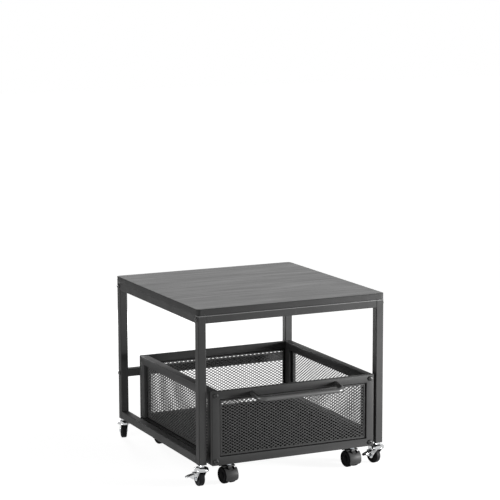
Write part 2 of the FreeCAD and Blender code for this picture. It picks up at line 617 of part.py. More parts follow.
def stand_wheel(name):
    """Stand caster wheel about its axle along X, with a dished ring in each side."""
    hub = f"({FORK_GAP} / 2 - Dim.hub_side_gap)"
    side, dish = "(Dim.wheel_width / 2)", "(Dim.wheel_width / 2 - Dim.wheel_dish)"
    ring_out = f"({WHEEL_R} - Dim.wheel_rim)"
    half = [(hub, "Dim.axle / 2 + Dim.fit"), (hub, "Dim.wheel_hub"), (dish, "Dim.wheel_hub"),
            (dish, ring_out), (side, ring_out), (side, WHEEL_R)]
    body = turned(name, half + [(f"0 - {along}", radius) for along, radius in reversed(half)])
    rim = num(WHEEL_R)
    round_off(body, body.Tip, "Dim.wheel_round", lambda edge: is_ring(edge, rim))
    return body


def stand_axle(name):
    """Axle rivet with a head outside each fork arm."""
    outer = f"({FORK_OUT} + Dim.fit)"
    half = [(f"{outer} + Dim.axle_head_tall", "0"), (f"{outer} + Dim.axle_head_tall", "Dim.axle_head * 0.35"),
            (f"{outer} + Dim.axle_head_tall * 0.5", "Dim.axle_head / 2"), (outer, "Dim.axle_head / 2"),
            (outer, "Dim.axle / 2")]
    return turned(name, half + [(f"0 - ({along})", radius) for along, radius in reversed(half)])


def at_caster(thing, x, y, turn, behind="0", up="0"):
    """Places a piece that lies behind a caster's stem, turned with the caster."""
    return place(thing, f"{x} - sin({turn} * 1deg) * {behind}", f"{y} + cos({turn} * 1deg) * {behind}",
                 up, Z_AXIS, turn)


def stand_casters():
    """Fork, axle and wheel under each leg, and a brake lever on the front ones."""
    for row, back in ROWS.items():
        for side, sign in SIDES.items():
            spot = f"{row}_{side}"
            x, y, turn = f"{sign} * {LEG_X}", f"{back} * {LEG_Y}", f"Dim.turn_{spot}"
            braked = row == "front"
            node(at_caster(fork(f"{spot}_fork", braked), x, y, turn))
            node(at_caster(stand_axle(f"{spot}_axle"), x, y, turn, "Dim.trail", WHEEL_R))
            node(at_caster(stand_wheel(f"{spot}_wheel"), x, y, turn, "Dim.trail", WHEEL_R))
            if braked:
                node(at_caster(brake_lever(f"{spot}_brake_lever"), x, y, turn))


def mesh_sheet(name, wide, tall):
    """Expanded metal sheet in the XZ plane: staggered diamond openings cut from one face."""
    pitch_long, pitch_short, strand = num("Dim.mesh_long"), num("Dim.mesh_short"), num("Dim.mesh_strand")
    half_wide, half_tall, thick = num(wide) / 2, num(tall) / 2, num("Dim.mesh_thick")
    reach = math.hypot(pitch_long, pitch_short) * strand / (pitch_long * pitch_short)
    open_long, open_short = (pitch_long * (1 - reach) / 2, pitch_short * (1 - reach) / 2)
    room_x = half_wide - num("Dim.mesh_margin") - open_long
    room_z = half_tall - num("Dim.mesh_margin") - open_short
    holes = []
    for row in range(-int(2 * room_z / pitch_short), int(2 * room_z / pitch_short) + 1):
        shift = 0.5 * (row % 2)
        columns = int(room_x / pitch_long + 1)
        for column in range(-columns, columns + 1):
            x, z = (column + shift) * pitch_long, row * pitch_short / 2
            if abs(x) <= room_x and abs(z) <= room_z:
                holes.append(diamond(x, z, open_long, open_short))
    rim = rectangle_wire(half_wide, half_tall)
    sheet_face = Part.Face([rim] + holes)
    thing = doc.addObject("Part::Feature", name)
    thing.Shape = sheet_face.extrude(FreeCAD.Vector(0, thick, 0))
    thing.Placement.Base = FreeCAD.Vector(0, -thick / 2, 0)
    return thing


def diamond(x, z, half_long, half_short):
    """One diamond outline in the XZ plane."""
    corners = [(x - half_long, z), (x, z + half_short), (x + half_long, z), (x, z - half_short)]
    return Part.makePolygon([FreeCAD.Vector(a, 0, b) for a, b in corners + corners[:1]])


def rectangle_wire(half_wide, half_tall):
    """A rectangle about the origin in the XZ plane."""
    signs = ((-1, -1), (1, -1), (1, 1), (-1, 1))
    corners = [(a * half_wide, b * half_tall) for a, b in signs]
    return Part.makePolygon([FreeCAD.Vector(a, 0, b) for a, b in corners + corners[:1]])


def panel(name, wide, deep, holes):
    """Tube frame with a strip and mesh inside it, in the XZ plane about its own centre."""
    origin = ("0", "0", "0")
    tall = "Dim.basket_height"

    def slab(part, inset, thick):
        size = (f"({wide} - 2 * ({inset}))", thick, f"({tall} - 2 * ({inset}))")
        return middle_box(f"{name}_{part}", origin, size)

    through = f"({deep} + {SLACK})"
    bore = cut(f"{name}_bore", slab("bore_out", "Dim.tube_wall", f"({deep} - 2 * Dim.tube_wall)"),
               [slab("bore_in", "Dim.panel_bar - Dim.tube_wall", through)])
    ring = cut(f"{name}_ring", slab("ring_out", "0", deep), [slab("ring_in", "Dim.panel_bar", through), bore])
    hem = cut(f"{name}_hem", slab("hem_out", "Dim.panel_bar", "Dim.hem_thick"),
              [slab("hem_in", "Dim.panel_bar + Dim.hem", through)])
    inset = "2 * (Dim.panel_bar + Dim.hem)"
    mesh = mesh_sheet(f"{name}_mesh", f"({wide} - {inset})", f"({tall} - {inset})")
    welded = doc.addObject("Part::MultiFuse", f"{name}_welded")
    welded.Shapes = [ring, hem, mesh]
    drills = [rod(f"{name}_hole_{i}", f"{diameter} / 2 + Dim.fit", f"{wide}", x, f"({wide}) / 2", z, "Y")
              for i, (x, z, diameter) in enumerate(holes)]
    return cut(name, welded, drills) if drills else welded


def side_panel(name):
    """A side panel, its tube ends open to the corner bolts that come in from front and back."""
    frame = panel(f"{name}_frame", SIDE_LENGTH, "Dim.side_bar", [])
    reach = f"({SIDE_LENGTH} + {SLACK})"
    drills = [rod(f"{name}_bolt_hole_{i}", "Dim.bolt / 2 + Dim.fit", reach, f"0 - {reach} / 2", "0",
                  f"{z} - {BASKET_Z} - Dim.basket_height / 2", "X") for i, z in enumerate(BOLT_ROWS_Z)]
    return cut(name, frame, drills)


def basket_panels():
    """Front and rear panels across the basket, and the side panels between them."""
    mid_z = f"({BASKET_Z} + Dim.basket_height / 2)"
    corners = [(f"{sign} * {BOLT_ROW_X}", f"{z} - {mid_z}", "Dim.bolt")
               for sign in SIDES.values() for z in BOLT_ROWS_Z]
    handle = [(f"{sign} * Dim.handle_span / 2", f"{HANDLE_Z} - {mid_z}", "Dim.handle_screw")
              for sign in SIDES.values()]
    width = f"(2 * {BASKET_X})"
    front = panel("front_panel", width, "Dim.end_bar", corners + handle)
    node(place(front, "0", f"{BASKET_FRONT} + Dim.end_bar / 2", mid_z))
    rear = panel("rear_panel", width, "Dim.end_bar", corners)
    node(place(rear, "0", f"{BASKET_BACK} - Dim.end_bar / 2", mid_z))
    for side, sign in SIDES.items():
        wall = side_panel(f"{side}_panel")
        node(place(wall, f"{sign} * {SIDE_PANEL_X}", BASKET_MID_Y, mid_z, Z_AXIS, "90"))


def basket_fasteners():
    """Button-head bolts through the front and rear panels into the side panels."""
    bolts = []
    for row, face, angle in (("front", BASKET_FRONT, "90"), ("rear", BASKET_BACK, "-90")):
        for side, sign in SIDES.items():
            for i, z in enumerate(BOLT_ROWS_Z):
                bolt = button_bolt(f"corner_bolt_{row}_{side}_{i}", "Dim.end_bar + Dim.bolt_bite")
                bolts.append(place(bolt, f"{sign} * {BOLT_ROW_X}", face, z, Z_AXIS, angle))
    group("panel_bolts", bolts)


def basket_floor():
    """Floor board, and the two cross bars that carry it and the casters."""
    inner_x = f"({BASKET_X} - Dim.side_bar)"
    depth = f"({SIDE_LENGTH} - 2 * Dim.floor_gap)"
    size = (f"(2 * ({inner_x} - Dim.floor_gap))", depth, "Dim.floor_thick")
    node(middle_box("basket_floor", ("0", BASKET_MID_Y, f"{FLOOR_Z} + Dim.floor_thick / 2"), size))
    nuts = []
    for row, y in TWIN_ROWS_Y.items():
        bar = square_tube(f"{row}_floor_bar", "X", f"(2 * {inner_x})", "Dim.floor_bar", "Dim.floor_bar_tall",
                          "Dim.tube_wall")
        stem_spots = [(f"{sign} * {TWIN_X}", "0") for sign in SIDES.values()]
        drill(bar, "XY_Plane", stem_spots, "Dim.twin_stem + 2 * Dim.fit")
        node(place(bar, "0", y, f"{BASKET_Z} + Dim.floor_bar_tall / 2"))
        for side, sign in SIDES.items():
            nut = add("Part::Prism", f"nut_blank_{row}_{side}", Circumradius="Dim.twin_nut / sqrt(3)",
                      Height="Dim.twin_nut_tall")
            nut.Polygon = HEXAGON
            hole = rod(f"nut_hole_{row}_{side}", "Dim.twin_stem / 2 + Dim.fit", "Dim.twin_nut_tall")
            stem_nut = cut(f"stem_nut_{row}_{side}", nut, [hole])
            nuts.append(place(stem_nut, f"{sign} * {TWIN_X}", y, f"{BASKET_Z} + Dim.tube_wall"))
    group("basket_caster_nuts", nuts)


def handle():
    """Bow handle of round bar, sloping down a little, and its two screws from behind."""
    half, bend, bar = "Dim.handle_span / 2", "Dim.handle_bend", "Dim.handle_bar / 2"
    straight = f"(Dim.handle_reach - {bend})"
    pieces = []
    for side, sign, start in (("left", -1, "180"), ("right", 1, "270")):
        leg_long = f"{straight} + {SLACK}"
        pieces.append(rod(f"handle_leg_{side}", bar, leg_long, f"{sign} * {half}", str(SLACK), "0", "Y"))
        corner = add("Part::Torus", f"handle_bend_{side}", Radius1=bend, Radius2=bar)
        corner.Angle3 = 90
        place(corner, f"{sign} * ({half} - {bend})", f"0 - {straight}", "0", Z_AXIS, start)
        pieces.append(corner)
    pieces.append(rod("handle_grip", bar, f"(Dim.handle_span - 2 * {bend})", f"0 - {half} + {bend}",
                      "0 - Dim.handle_reach", "0", "X"))
    bow = place(fuse("handle_bow", pieces), "0", BASKET_FRONT, HANDLE_Z, X_AXIS, "Dim.handle_tilt")
    behind = box("handle_behind", ("0 - Dim.handle_span", BASKET_FRONT, f"{HANDLE_Z} - Dim.handle_span"),
                 ("2 * Dim.handle_span", "Dim.handle_span", "2 * Dim.handle_span"))
    bores = [rod(f"handle_bore_{side}", "Dim.handle_screw / 2 + Dim.fit", "Dim.handle_bite + Dim.bore_spare",
                 f"{sign} * {half}", BASKET_FRONT, HANDLE_Z, "Y") for side, sign in SIDES.items()]
    node(cut("basket_handle", bow, [behind] + bores))
    screws = []
    for side, sign in SIDES.items():
        screw = pan_screw(f"handle_screw_{side}", "Dim.handle_screw_head", "Dim.handle_screw_head_tall",
                          "Dim.handle_screw", "Dim.end_bar + Dim.handle_bite")
        back = f"{BASKET_FRONT} + Dim.end_bar"
        screws.append(place(screw, f"{sign} * {half}", back, HANDLE_Z, Z_AXIS, "-90"))
    group("handle_screws", screws)


def hood_cutters(name, width, outer):
    """What is taken out of a hood's roof: a V over its front, and the corners of its front lip."""
    tip, top = f"({TWIN_R} + Dim.hood_vee_tip)", f"({TWIN_R} + 2 * {outer})"
    right, left, rise = width, f"(0 - {width})", f"({tip} + 2 * Dim.hood_vee_rise)"
    vee = new_body(f"{name}_vee")
    outline(sketch_on(vee, "XZ_Plane", "profile"), [
        ("0", tip), (right, rise), (right, top), (left, top), (left, rise)])
    pad(vee, doc.getObject(f"{name}_vee_profile"), f"2 * {outer}")
    cutters = [place(vee, y=f"Dim.twin_trail - Dim.hood_vee_back - {outer}")]
    radius = "Dim.hood_lip_round"
    z = f"({TWIN_R} + {outer} * sin((Dim.hood_lip + Dim.hood_wrap) * 1deg) + {radius})"
    for side, sign in SIDES.items():
        x = f"({sign} * ({width} / 2 - {radius}))"
        middle = (f"{x} + {sign} * {radius}", f"Dim.twin_trail - {outer}", f"{z} - {radius}")
        block = middle_box(f"{name}_lip_{side}", middle, (f"2 * {radius}", f"2 * {outer}", f"2 * {radius}"))
        kept = rod(f"{name}_lip_round_{side}", radius, f"2 * {outer} + 2 * {SLACK}", x,
                   f"Dim.twin_trail + {SLACK}", z, "Y")
        cutters.append(cut(f"{name}_lip_corner_{side}", block, [kept]))
    return cutters


def hood(name):
    """Hood of a twin-wheel caster about its stem, with the axle behind it along +Y."""
    width = f"({TWIN_GAP} + 2 * Dim.twin_width)"
    inner = f"({TWIN_R} + Dim.hood_room)"
    outer = f"({inner} + Dim.hood_shell)"
    core = "Dim.hood_core"

    def round_block(part, radius, wide, sector):
        block = add("Part::Cylinder", f"{name}_{part}", Radius=radius, Height=wide)
        block.setExpression("Angle", sector)
        turn = FreeCAD.Rotation(X_AXIS, num("Dim.hood_lip + 90")) * FreeCAD.Rotation(Y_AXIS, 90)
        block.Placement.Rotation = turn
        for way, expression in zip("xyz", (f"0 - ({wide}) / 2", "Dim.twin_trail", TWIN_R)):
            block.setExpression(f"Placement.Base.{way}", expression)
        return block

    whole = str(FULL_TURN)
    roof = cut(f"{name}_roof", round_block("roof_out", outer, width, "Dim.hood_wrap"),
               [round_block("roof_in", inner, f"2 * {width}", whole)] + hood_cutters(name, width, outer))
    rib = round_block("rib", f"({inner} + Dim.hood_shell / 2)", core, "Dim.hood_wrap")
    hub = round_block("hub", "Dim.hood_hub", core, whole)
    neck = middle_box(f"{name}_neck", ("0", "0", f"({TWIN_R} + {HOOD_TOP}) / 2"),
                      (core, "Dim.hood_neck", f"({HOOD_TOP} - {TWIN_R})"))
    stem_hole = rod(f"{name}_stem_hole", "Dim.twin_stem / 2 + Dim.fit", f"Dim.twin_stem_deep + {SLACK}",
                    z=f"{HOOD_TOP} - Dim.twin_stem_deep")
    axle_hole = round_block("axle_hole", "Dim.axle / 2 + Dim.fit", f"2 * {core}", whole)
    return cut(name, fuse(f"{name}_blank", [roof, rib, hub, neck]), [stem_hole, axle_hole])


def twin_wheel(name, sign):
    """One wheel of a twin caster about its axle along X, closed on its outer side."""
    bore, skin = "Dim.axle / 2 + Dim.fit", "(Dim.twin_width - Dim.twin_skin)"
    groove = "(Dim.twin_width - Dim.twin_cap_groove)"
    ring = f"({TWIN_R} - Dim.twin_round - Dim.twin_cap_groove)"
    wide, cap = "Dim.twin_width", "Dim.twin_cap"
    profile = [("0", bore), ("0", TWIN_R), (wide, TWIN_R), (wide, ring), (groove, ring),
               (groove, cap), (wide, cap), (wide, "0"), (skin, "0"), (skin, bore)]
    body = turned(name, [(f"{sign} * ({along})", radius) for along, radius in profile])
    rim, shoulder = num(TWIN_R), sign * num("Dim.twin_width")
    round_off(body, body.Tip, "Dim.twin_round", lambda edge: is_ring(edge, rim, shoulder))
    return body


def twin_axle(name):
    """Plain axle pin that both wheels run on."""
    half = f"({TWIN_GAP} / 2 + Dim.twin_width - Dim.twin_skin - Dim.swivel_gap)"
    radius = "Dim.axle / 2"
    return turned(name, [(f"0 - {half}", "0"), (f"0 - {half}", radius), (half, radius), (half, "0")])


def twin_stem(name):
    """Stem with its collar, which holds the hood to the cross bar."""
    foot = f"({HOOD_TOP} - Dim.twin_stem_deep + Dim.swivel_gap)"
    tip = f"({BASKET_Z} + Dim.tube_wall + Dim.twin_nut_tall + Dim.twin_tip)"
    shaft, collar = "Dim.twin_stem / 2", "Dim.twin_collar / 2"
    return turned(name, [("0", foot), (shaft, foot), (shaft, COLLAR_LOW), (collar, COLLAR_LOW),
                         (collar, BASKET_Z), (shaft, BASKET_Z), (shaft, tip), ("0", tip)], upright=True)


def basket_casters():
    """Stem, hood, axle and two wheels at each corner of the basket."""
    stems = []
    for row, y in TWIN_ROWS_Y.items():
        turn = f"Dim.twin_turn_{row}"
        for side, side_sign in SIDES.items():
            spot = f"basket_{row}_{side}"
            x = f"{side_sign} * {TWIN_X}"
            stems.append(place(twin_stem(f"{spot}_stem"), x, y))
            node(at_caster(hood(f"{spot}_hood"), x, y, turn))
            node(at_caster(twin_axle(f"{spot}_axle"), x, y, turn, "Dim.twin_trail", TWIN_R))
            for hand, sign in (("a", -1), ("b", 1)):
                wheel = twin_wheel(f"{spot}_wheel_{hand}", sign)
                off = f"({sign} * {TWIN_GAP} / 2)"
                spot_x = f"{x} + cos({turn} * 1deg) * {off} - sin({turn} * 1deg) * Dim.twin_trail"
                spot_y = f"{y} + sin({turn} * 1deg) * {off} + cos({turn} * 1deg) * Dim.twin_trail"
                node(place(wheel, spot_x, spot_y, TWIN_R, Z_AXIS, turn))
    group("basket_caster_stems", stems)


def check_and_write():
    """Stops on any failed object, then writes each sub-part to its own file."""
    doc.recompute()
    failed = [o.Name for o in doc.Objects if "Invalid" in o.State or "Error" in o.State]
    failed += [n.Name for n in nodes if n.Shape.isNull() or not n.Shape.isValid() or not n.Shape.Solids]
    if failed:
        raise RuntimeError("failed: " + ", ".join(failed))
    os.makedirs("parts", exist_ok=True)
    for thing in nodes:
        thing.Shape.exportStep(f"parts/{thing.Label}.step")
    print(len(nodes), "sub-parts written")


board()
legs()
rails()
frame_fasteners()
feet()
stand_casters()
basket_panels()
basket_fasteners()
basket_floor()
handle()
basket_casters()
check_and_write()
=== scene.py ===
# %% [markdown]
# # A rolling stand with a basket on wheels
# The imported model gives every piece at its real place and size, in metres, with the floor at z = 0. This
# lesson dresses it: camera and light first, then the finishes, then the pieces that need more shape than a
# machine drawing holds, such as the expanded metal mesh.

# %% Load the frame
import json
import math

import bmesh
import bpy
from mathutils import Matrix, Vector


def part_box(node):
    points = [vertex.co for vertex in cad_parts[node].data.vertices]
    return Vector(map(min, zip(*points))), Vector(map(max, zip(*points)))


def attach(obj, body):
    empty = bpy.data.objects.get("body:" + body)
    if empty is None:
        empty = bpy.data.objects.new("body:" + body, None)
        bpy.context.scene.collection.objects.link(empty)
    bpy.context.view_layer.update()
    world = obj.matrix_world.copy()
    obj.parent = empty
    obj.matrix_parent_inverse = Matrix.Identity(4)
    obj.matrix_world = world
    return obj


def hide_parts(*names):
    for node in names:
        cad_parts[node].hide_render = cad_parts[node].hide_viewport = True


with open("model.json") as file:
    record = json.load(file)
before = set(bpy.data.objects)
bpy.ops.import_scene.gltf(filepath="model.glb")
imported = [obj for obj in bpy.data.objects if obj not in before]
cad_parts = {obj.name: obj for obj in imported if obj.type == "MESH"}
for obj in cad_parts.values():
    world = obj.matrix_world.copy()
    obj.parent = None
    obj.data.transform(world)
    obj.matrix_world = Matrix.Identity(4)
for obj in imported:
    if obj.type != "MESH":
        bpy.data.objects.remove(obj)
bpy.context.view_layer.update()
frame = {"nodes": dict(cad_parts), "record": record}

MM = 0.001
nodes = frame["nodes"]

# %% [markdown]
# ## Camera
# The picture was taken from the front left with a long lens, a little above the board. The yaw, pitch and
# lens were solved from the corners of the board and the legs, so the camera is written with those numbers:
# a direction that points back from the object, and a point in space that lies at the centre of the picture.

# %% Camera
YAW, PITCH, ROLL = (math.radians(a) for a in (-25.286, 9.045, -0.188))
LENS_MM, SENSOR_MM = 133.97, 36.0
DISTANCE = 4.640
AIM_HEIGHT, AIM_RIGHT, AIM_DOWN = 0.6118, 0.00874, 0.09399

back = Vector((math.sin(YAW) * math.cos(PITCH), -math.cos(YAW) * math.cos(PITCH), math.sin(PITCH)))
level = Vector((0, 0, 1)).cross(back).normalized()
plumb = back.cross(level)
right = level * math.cos(ROLL) + plumb * math.sin(ROLL)
up = plumb * math.cos(ROLL) - level * math.sin(ROLL)
centre_of_picture = Vector((0, 0, AIM_HEIGHT)) + right * AIM_RIGHT - up * AIM_DOWN

scene = bpy.context.scene
camera = bpy.data.objects.new("camera", bpy.data.cameras.new("camera"))
scene.collection.objects.link(camera)
camera.data.lens, camera.data.sensor_width = LENS_MM, SENSOR_MM
turn = Matrix((right, up, back)).transposed().to_4x4()
camera.matrix_world = Matrix.Translation(centre_of_picture + back * DISTANCE) @ turn
scene.camera = camera
print("camera at", tuple(round(v, 3) for v in camera.location))

# %% [markdown]
# ## One helper for every node tree
# Shader trees and geometry trees are built the same way: a node, its settings, and for each input either a
# plain value or a link from another node. One small function does all of it.

# %% Node helper and colours
def add_node(tree, kind, inputs=None, **settings):
    """Adds a node; an input is a value, or (node, output) for a link."""
    node = tree.nodes.new(kind)
    for setting, value in settings.items():
        setattr(node, setting, value)
    for socket, value in (inputs or {}).items():
        if isinstance(value, tuple) and isinstance(value[0], bpy.types.Node):
            tree.links.new(value[0].outputs[value[1]], node.inputs[socket])
        else:
            node.inputs[socket].default_value = value
    return node


def linear(hex_colour):
    """An sRGB hex colour as linear RGBA, by the sRGB standard's curve."""
    shares = [int(hex_colour[i:i + 2], 16) / 255 for i in (1, 3, 5)]
    return tuple(s / 12.92 if s <= 0.04045 else ((s + 0.055) / 1.055) ** 2.4 for s in shares) + (1.0,)


print("mid grey", [round(v, 3) for v in linear("#808080")])

# %% [markdown]
# ## White surroundings
# The object stands on a white sweep. What the camera sees behind it, and what bright metal mirrors, is
# plain white. More light could make it white, but that would wash out the black paint as well. So the world
# asks what kind of ray has reached it: one that shows the background gets full white, and one that only
# carries light gets a faint glow.

# %% World
SKY_LIGHT, WHITE = 0.06, 1.0
scene.view_settings.view_transform = "Standard"


def shows_background(tree):
    """A node that gives 1 to rays from the camera, a gloss or a clear piece, and 0 to others."""
    ray = add_node(tree, "ShaderNodeLightPath")
    seen = add_node(tree, "ShaderNodeMath", {
        0: (ray, "Is Camera Ray"), 1: (ray, "Is Glossy Ray")}, operation="MAXIMUM")
    return add_node(tree, "ShaderNodeMath", {
        0: (seen, 0), 1: (ray, "Is Transmission Ray")}, operation="MAXIMUM")


world = bpy.data.worlds.new("studio")
scene.world = world
world.use_nodes = True
sky = world.node_tree
sky.nodes.clear()
strength = add_node(sky, "ShaderNodeMapRange", {
    "Value": (shows_background(sky), 0), "To Min": SKY_LIGHT, "To Max": WHITE})
backdrop = add_node(sky, "ShaderNodeBackground", {"Color": linear("#ffffff"), "Strength": (strength, 0)})
add_node(sky, "ShaderNodeOutputWorld", {"Surface": (backdrop, 0)})
print("world", len(sky.nodes), "nodes")

# %% [markdown]
# The floor is matte paper that takes the object's shadow. Its own colour is a middle grey, so that little
# light bounces up from it, and a glow, which only the background's rays see, lifts it to white. The glow is
# a touch weaker round the object and full from a step away, so the shadow stays and no horizon shows.

# %% Floor
FLOOR_HALF = 12.0
NEAR_GLOW, FAR_GLOW = 0.92, 1.0
GLOW_FROM, GLOW_FULL = 0.6, 1.5

floor_mesh = bpy.data.meshes.new("studio_floor")
corners = [(x * FLOOR_HALF, y * FLOOR_HALF, 0) for x, y in ((-1, -1), (1, -1), (1, 1), (-1, 1))]
floor_mesh.from_pydata(corners, [], [(0, 1, 2, 3)])
floor = bpy.data.objects.new("studio_floor", floor_mesh)
scene.collection.objects.link(floor)

paper = bpy.data.materials.new("white_paper_sweep")
paper.use_nodes = True
sweep = paper.node_tree
sweep.nodes.clear()
spot_on_floor = add_node(sweep, "ShaderNodeTexCoord")
away = add_node(sweep, "ShaderNodeVectorMath", {0: (spot_on_floor, "Object")}, operation="LENGTH")
glow_there = add_node(sweep, "ShaderNodeMapRange", {
    "Value": (away, "Value"), "From Min": GLOW_FROM, "From Max": GLOW_FULL,
    "To Min": NEAR_GLOW, "To Max": FAR_GLOW})
glow = add_node(sweep, "ShaderNodeMath", {
    0: (shows_background(sweep), 0), 1: (glow_there, 0)}, operation="MULTIPLY")
matte = add_node(sweep, "ShaderNodeBsdfDiffuse", {"Color": linear("#a0a0a0")})
shine = add_node(sweep, "ShaderNodeEmission", {"Color": linear("#ffffff"), "Strength": (glow, 0)})
both = add_node(sweep, "ShaderNodeAddShader", {0: (matte, 0), 1: (shine, 0)})
add_node(sweep, "ShaderNodeOutputMaterial", {"Surface": (both, 0)})
floor_mesh.materials.append(paper)
print("floor", 2 * FLOOR_HALF, "m wide,", len(sweep.nodes), "nodes")

# %% [markdown]
# ## Lamps
# Three soft lamps stand low, all under the plane of the board. From above it, a lamp would be mirrored in
# the laminate and burn its grain out to a pale patch. The key lamp at the front right lights the faces that
# look that way, the fill lamp keeps the left side readable, and a third lamp does the same for the back.

# %% Lamps
def soft_lamp(name, place, aim, size, watts):
    """A square area lamp that looks at a point; places and size in metres."""
    lamp = bpy.data.lights.new(name, "AREA")
    lamp.size, lamp.energy = size, watts
    thing = bpy.data.objects.new(name, lamp)
    scene.collection.objects.link(thing)
    thing.location = place
    thing.rotation_euler = (Vector(aim) - Vector(place)).to_track_quat("-Z", "Y").to_euler()


soft_lamp("key_lamp", place=(1.2, -1.0, 0.22), aim=(0.15, -0.2, 0.2), size=0.42, watts=43)
soft_lamp("fill_lamp", place=(-1.6, -0.5, 0.21), aim=(-0.25, -0.2, 0.12), size=0.4, watts=11)
soft_lamp("rear_lamp", place=(0.0, 1.95, 0.22), aim=(0.0, 0.2, 0.2), size=0.42, watts=23)

# %% [markdown]
# ## Finishes
# A real surface is never quite even, so each finish here is a plain shader whose colour, gloss and height
# are moved a little by noise. The noise could come from a picture of a surface, but made by nodes it has no
# seams and no end of detail. Its scale is a real size in millimetres, read from Object coordinates.

# %% Helpers for finishes
NOISE_LOW, NOISE_HIGH = 0.3, 0.7
MIX_FIRST, MIX_SECOND, MIX_RESULT = 6, 7, 2  # the colour sockets of a Mix node


def finish(name, colour, roughness, metallic=0.0, gloss=0.5):
    """A material with one Principled shader, and its tree, shader and Object coordinates."""
    material = bpy.data.materials.new(name)
    material.use_nodes = True
    tree = material.node_tree
    tree.nodes.clear()
    shader = add_node(tree, "ShaderNodeBsdfPrincipled", {
        "Base Color": linear(colour), "Roughness": roughness, "Metallic": metallic,
        "Specular IOR Level": gloss})
    add_node(tree, "ShaderNodeOutputMaterial", {"Surface": (shader, 0)})
    place = add_node(tree, "ShaderNodeTexCoord")
    return material, tree, shader, place


def grain(tree, place, size_mm, detail=2.0, stretch=(1, 1, 1)):
    """A noise whose blobs are about size_mm across, drawn out along an axis where stretch is above 1."""
    scale = tuple(1 / (size_mm * MM * s) for s in stretch)
    spread = add_node(tree, "ShaderNodeMapping", {"Vector": (place, "Object"), "Scale": scale})
    return add_node(tree, "ShaderNodeTexNoise", {"Vector": (spread, 0), "Scale": 1.0, "Detail": detail})


def vary(tree, shader, socket, noise, low, high):
    """Lets a noise, which seldom leaves its middle range, move one input of the shader between two values."""
    span = add_node(tree, "ShaderNodeMapRange", {
        "Value": (noise, "Fac"), "From Min": NOISE_LOW, "From Max": NOISE_HIGH,
        "To Min": low, "To Max": high})
    tree.links.new(span.outputs[0], shader.inputs[socket])


def vary_colour(tree, shader, noise, dark, pale):
    """Lets a noise move the base colour between two hex colours."""
    mix = add_node(tree, "ShaderNodeMix", {
        "Factor": (noise, "Fac"), MIX_FIRST: linear(dark), MIX_SECOND: linear(pale)}, data_type="RGBA")
    tree.links.new(mix.outputs[MIX_RESULT], shader.inputs["Base Color"])


def bump(tree, shader, noise, height_mm):
    """Raises the surface by a noise, with its height in millimetres."""
    node = add_node(tree, "ShaderNodeBump", {
        "Height": (noise, "Fac"), "Distance": height_mm * MM, "Strength": 1.0})
    tree.links.new(node.outputs[0], shader.inputs["Normal"])


print("noise is read from", NOISE_LOW, "to", NOISE_HIGH)

# %% [markdown]
# Almost all of the stand is steel tube under black polyester powder coat. The powder is sprayed on dry and
# melts into a skin with faint orange peel, so its gloss is broken into soft highlights. A fine pale line
# along the top edge of the rails and legs is a painted highlight: the edge's shine, painted into the coat's
# colour.
# The mesh gets less powder, and the handle, which hands take hold of, a smoother coat.

# %% Powder coat
PEEL_MM, SHEEN_MM, CLOUD_MM = 3, 40, 70
# Width of the painted highlight line, and how far below the rails' top it runs, in mm.
HIGHLIGHT_LINE_MM, HIGHLIGHT_BELOW_TOP = 1.6, 2.0


def thin_coat(name, dark, pale, low, high, gloss, peel_high=0.05):
    """A coat whose colour and roughness, low to high, drift widely, over peel drawn coarse to show."""
    material, tree, shader, place = finish(name, dark, low, gloss=gloss)
    vary(tree, shader, "Roughness", grain(tree, place, SHEEN_MM), low, high)
    vary_colour(tree, shader, grain(tree, place, CLOUD_MM), dark, pale)
    bump(tree, shader, grain(tree, place, PEEL_MM), peel_high)
    return material


def paint_edge_highlight(material, highlight_colour, line_z, line_mm):
    """Paints a highlight into a coat's colour: a paler level line along an edge, full in the line's inner
    half.
    """
    tree = material.node_tree
    shader = tree.nodes["Principled BSDF"]
    paint = shader.inputs["Base Color"].links[0].from_socket
    place = add_node(tree, "ShaderNodeTexCoord")
    height = add_node(tree, "ShaderNodeSeparateXYZ", {0: (place, "Object")})
    above = add_node(tree, "ShaderNodeMath", {0: (height, "Z"), 1: line_z}, operation="SUBTRACT")
    apart = add_node(tree, "ShaderNodeMath", {0: (above, 0)}, operation="ABSOLUTE")
    # 1 inside the painted highlight line, 0 outside it.
    highlight_share = add_node(tree, "ShaderNodeMapRange", {
        "Value": (apart, 0), "From Min": line_mm / 4 * MM, "From Max": line_mm / 2 * MM,
        "To Min": 1.0, "To Max": 0.0})
    mix = add_node(tree, "ShaderNodeMix", {
        "Factor": (highlight_share, 0), MIX_SECOND: linear(highlight_colour)}, data_type="RGBA")
    tree.links.new(paint, mix.inputs[MIX_FIRST])
    tree.links.new(mix.outputs[MIX_RESULT], shader.inputs["Base Color"])


# Satin polyester powder: flat faces in dark grey, with a wide and weak sheen.
SATIN = dict(dark="#3b3b3b", pale="#464646", low=0.42, high=0.52, gloss=0.06)
satin_black = thin_coat("black_powder_coat", **SATIN)
# The same coat with a painted highlight: one fine pale line along the top edge, under the board.
painted_highlight_black = thin_coat("black_powder_coat_with_painted_highlight", **SATIN)
paint_edge_highlight(painted_highlight_black, "#8a8a8a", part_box("front_rail")[1].z - HIGHLIGHT_BELOW_TOP * MM, HIGHLIGHT_LINE_MM)
# Semi-gloss powder, almost without peel: a long clear highlight along the bar.
handle_black = thin_coat(
    "semi_gloss_powder_coat", "#323232", "#3a3a3a", 0.34, 0.4, gloss=0.8, peel_high=0.005)
# A thin coat on narrow strands: paler, with small glints where the strands twist.
mesh_black = thin_coat(
    "thin_powder_coat", "#505050", "#5a5a5a", 0.36, 0.44, gloss=0.25, peel_high=0.005)
print("powder coats", satin_black.name, painted_highlight_black.name, handle_black.name, mesh_black.name)

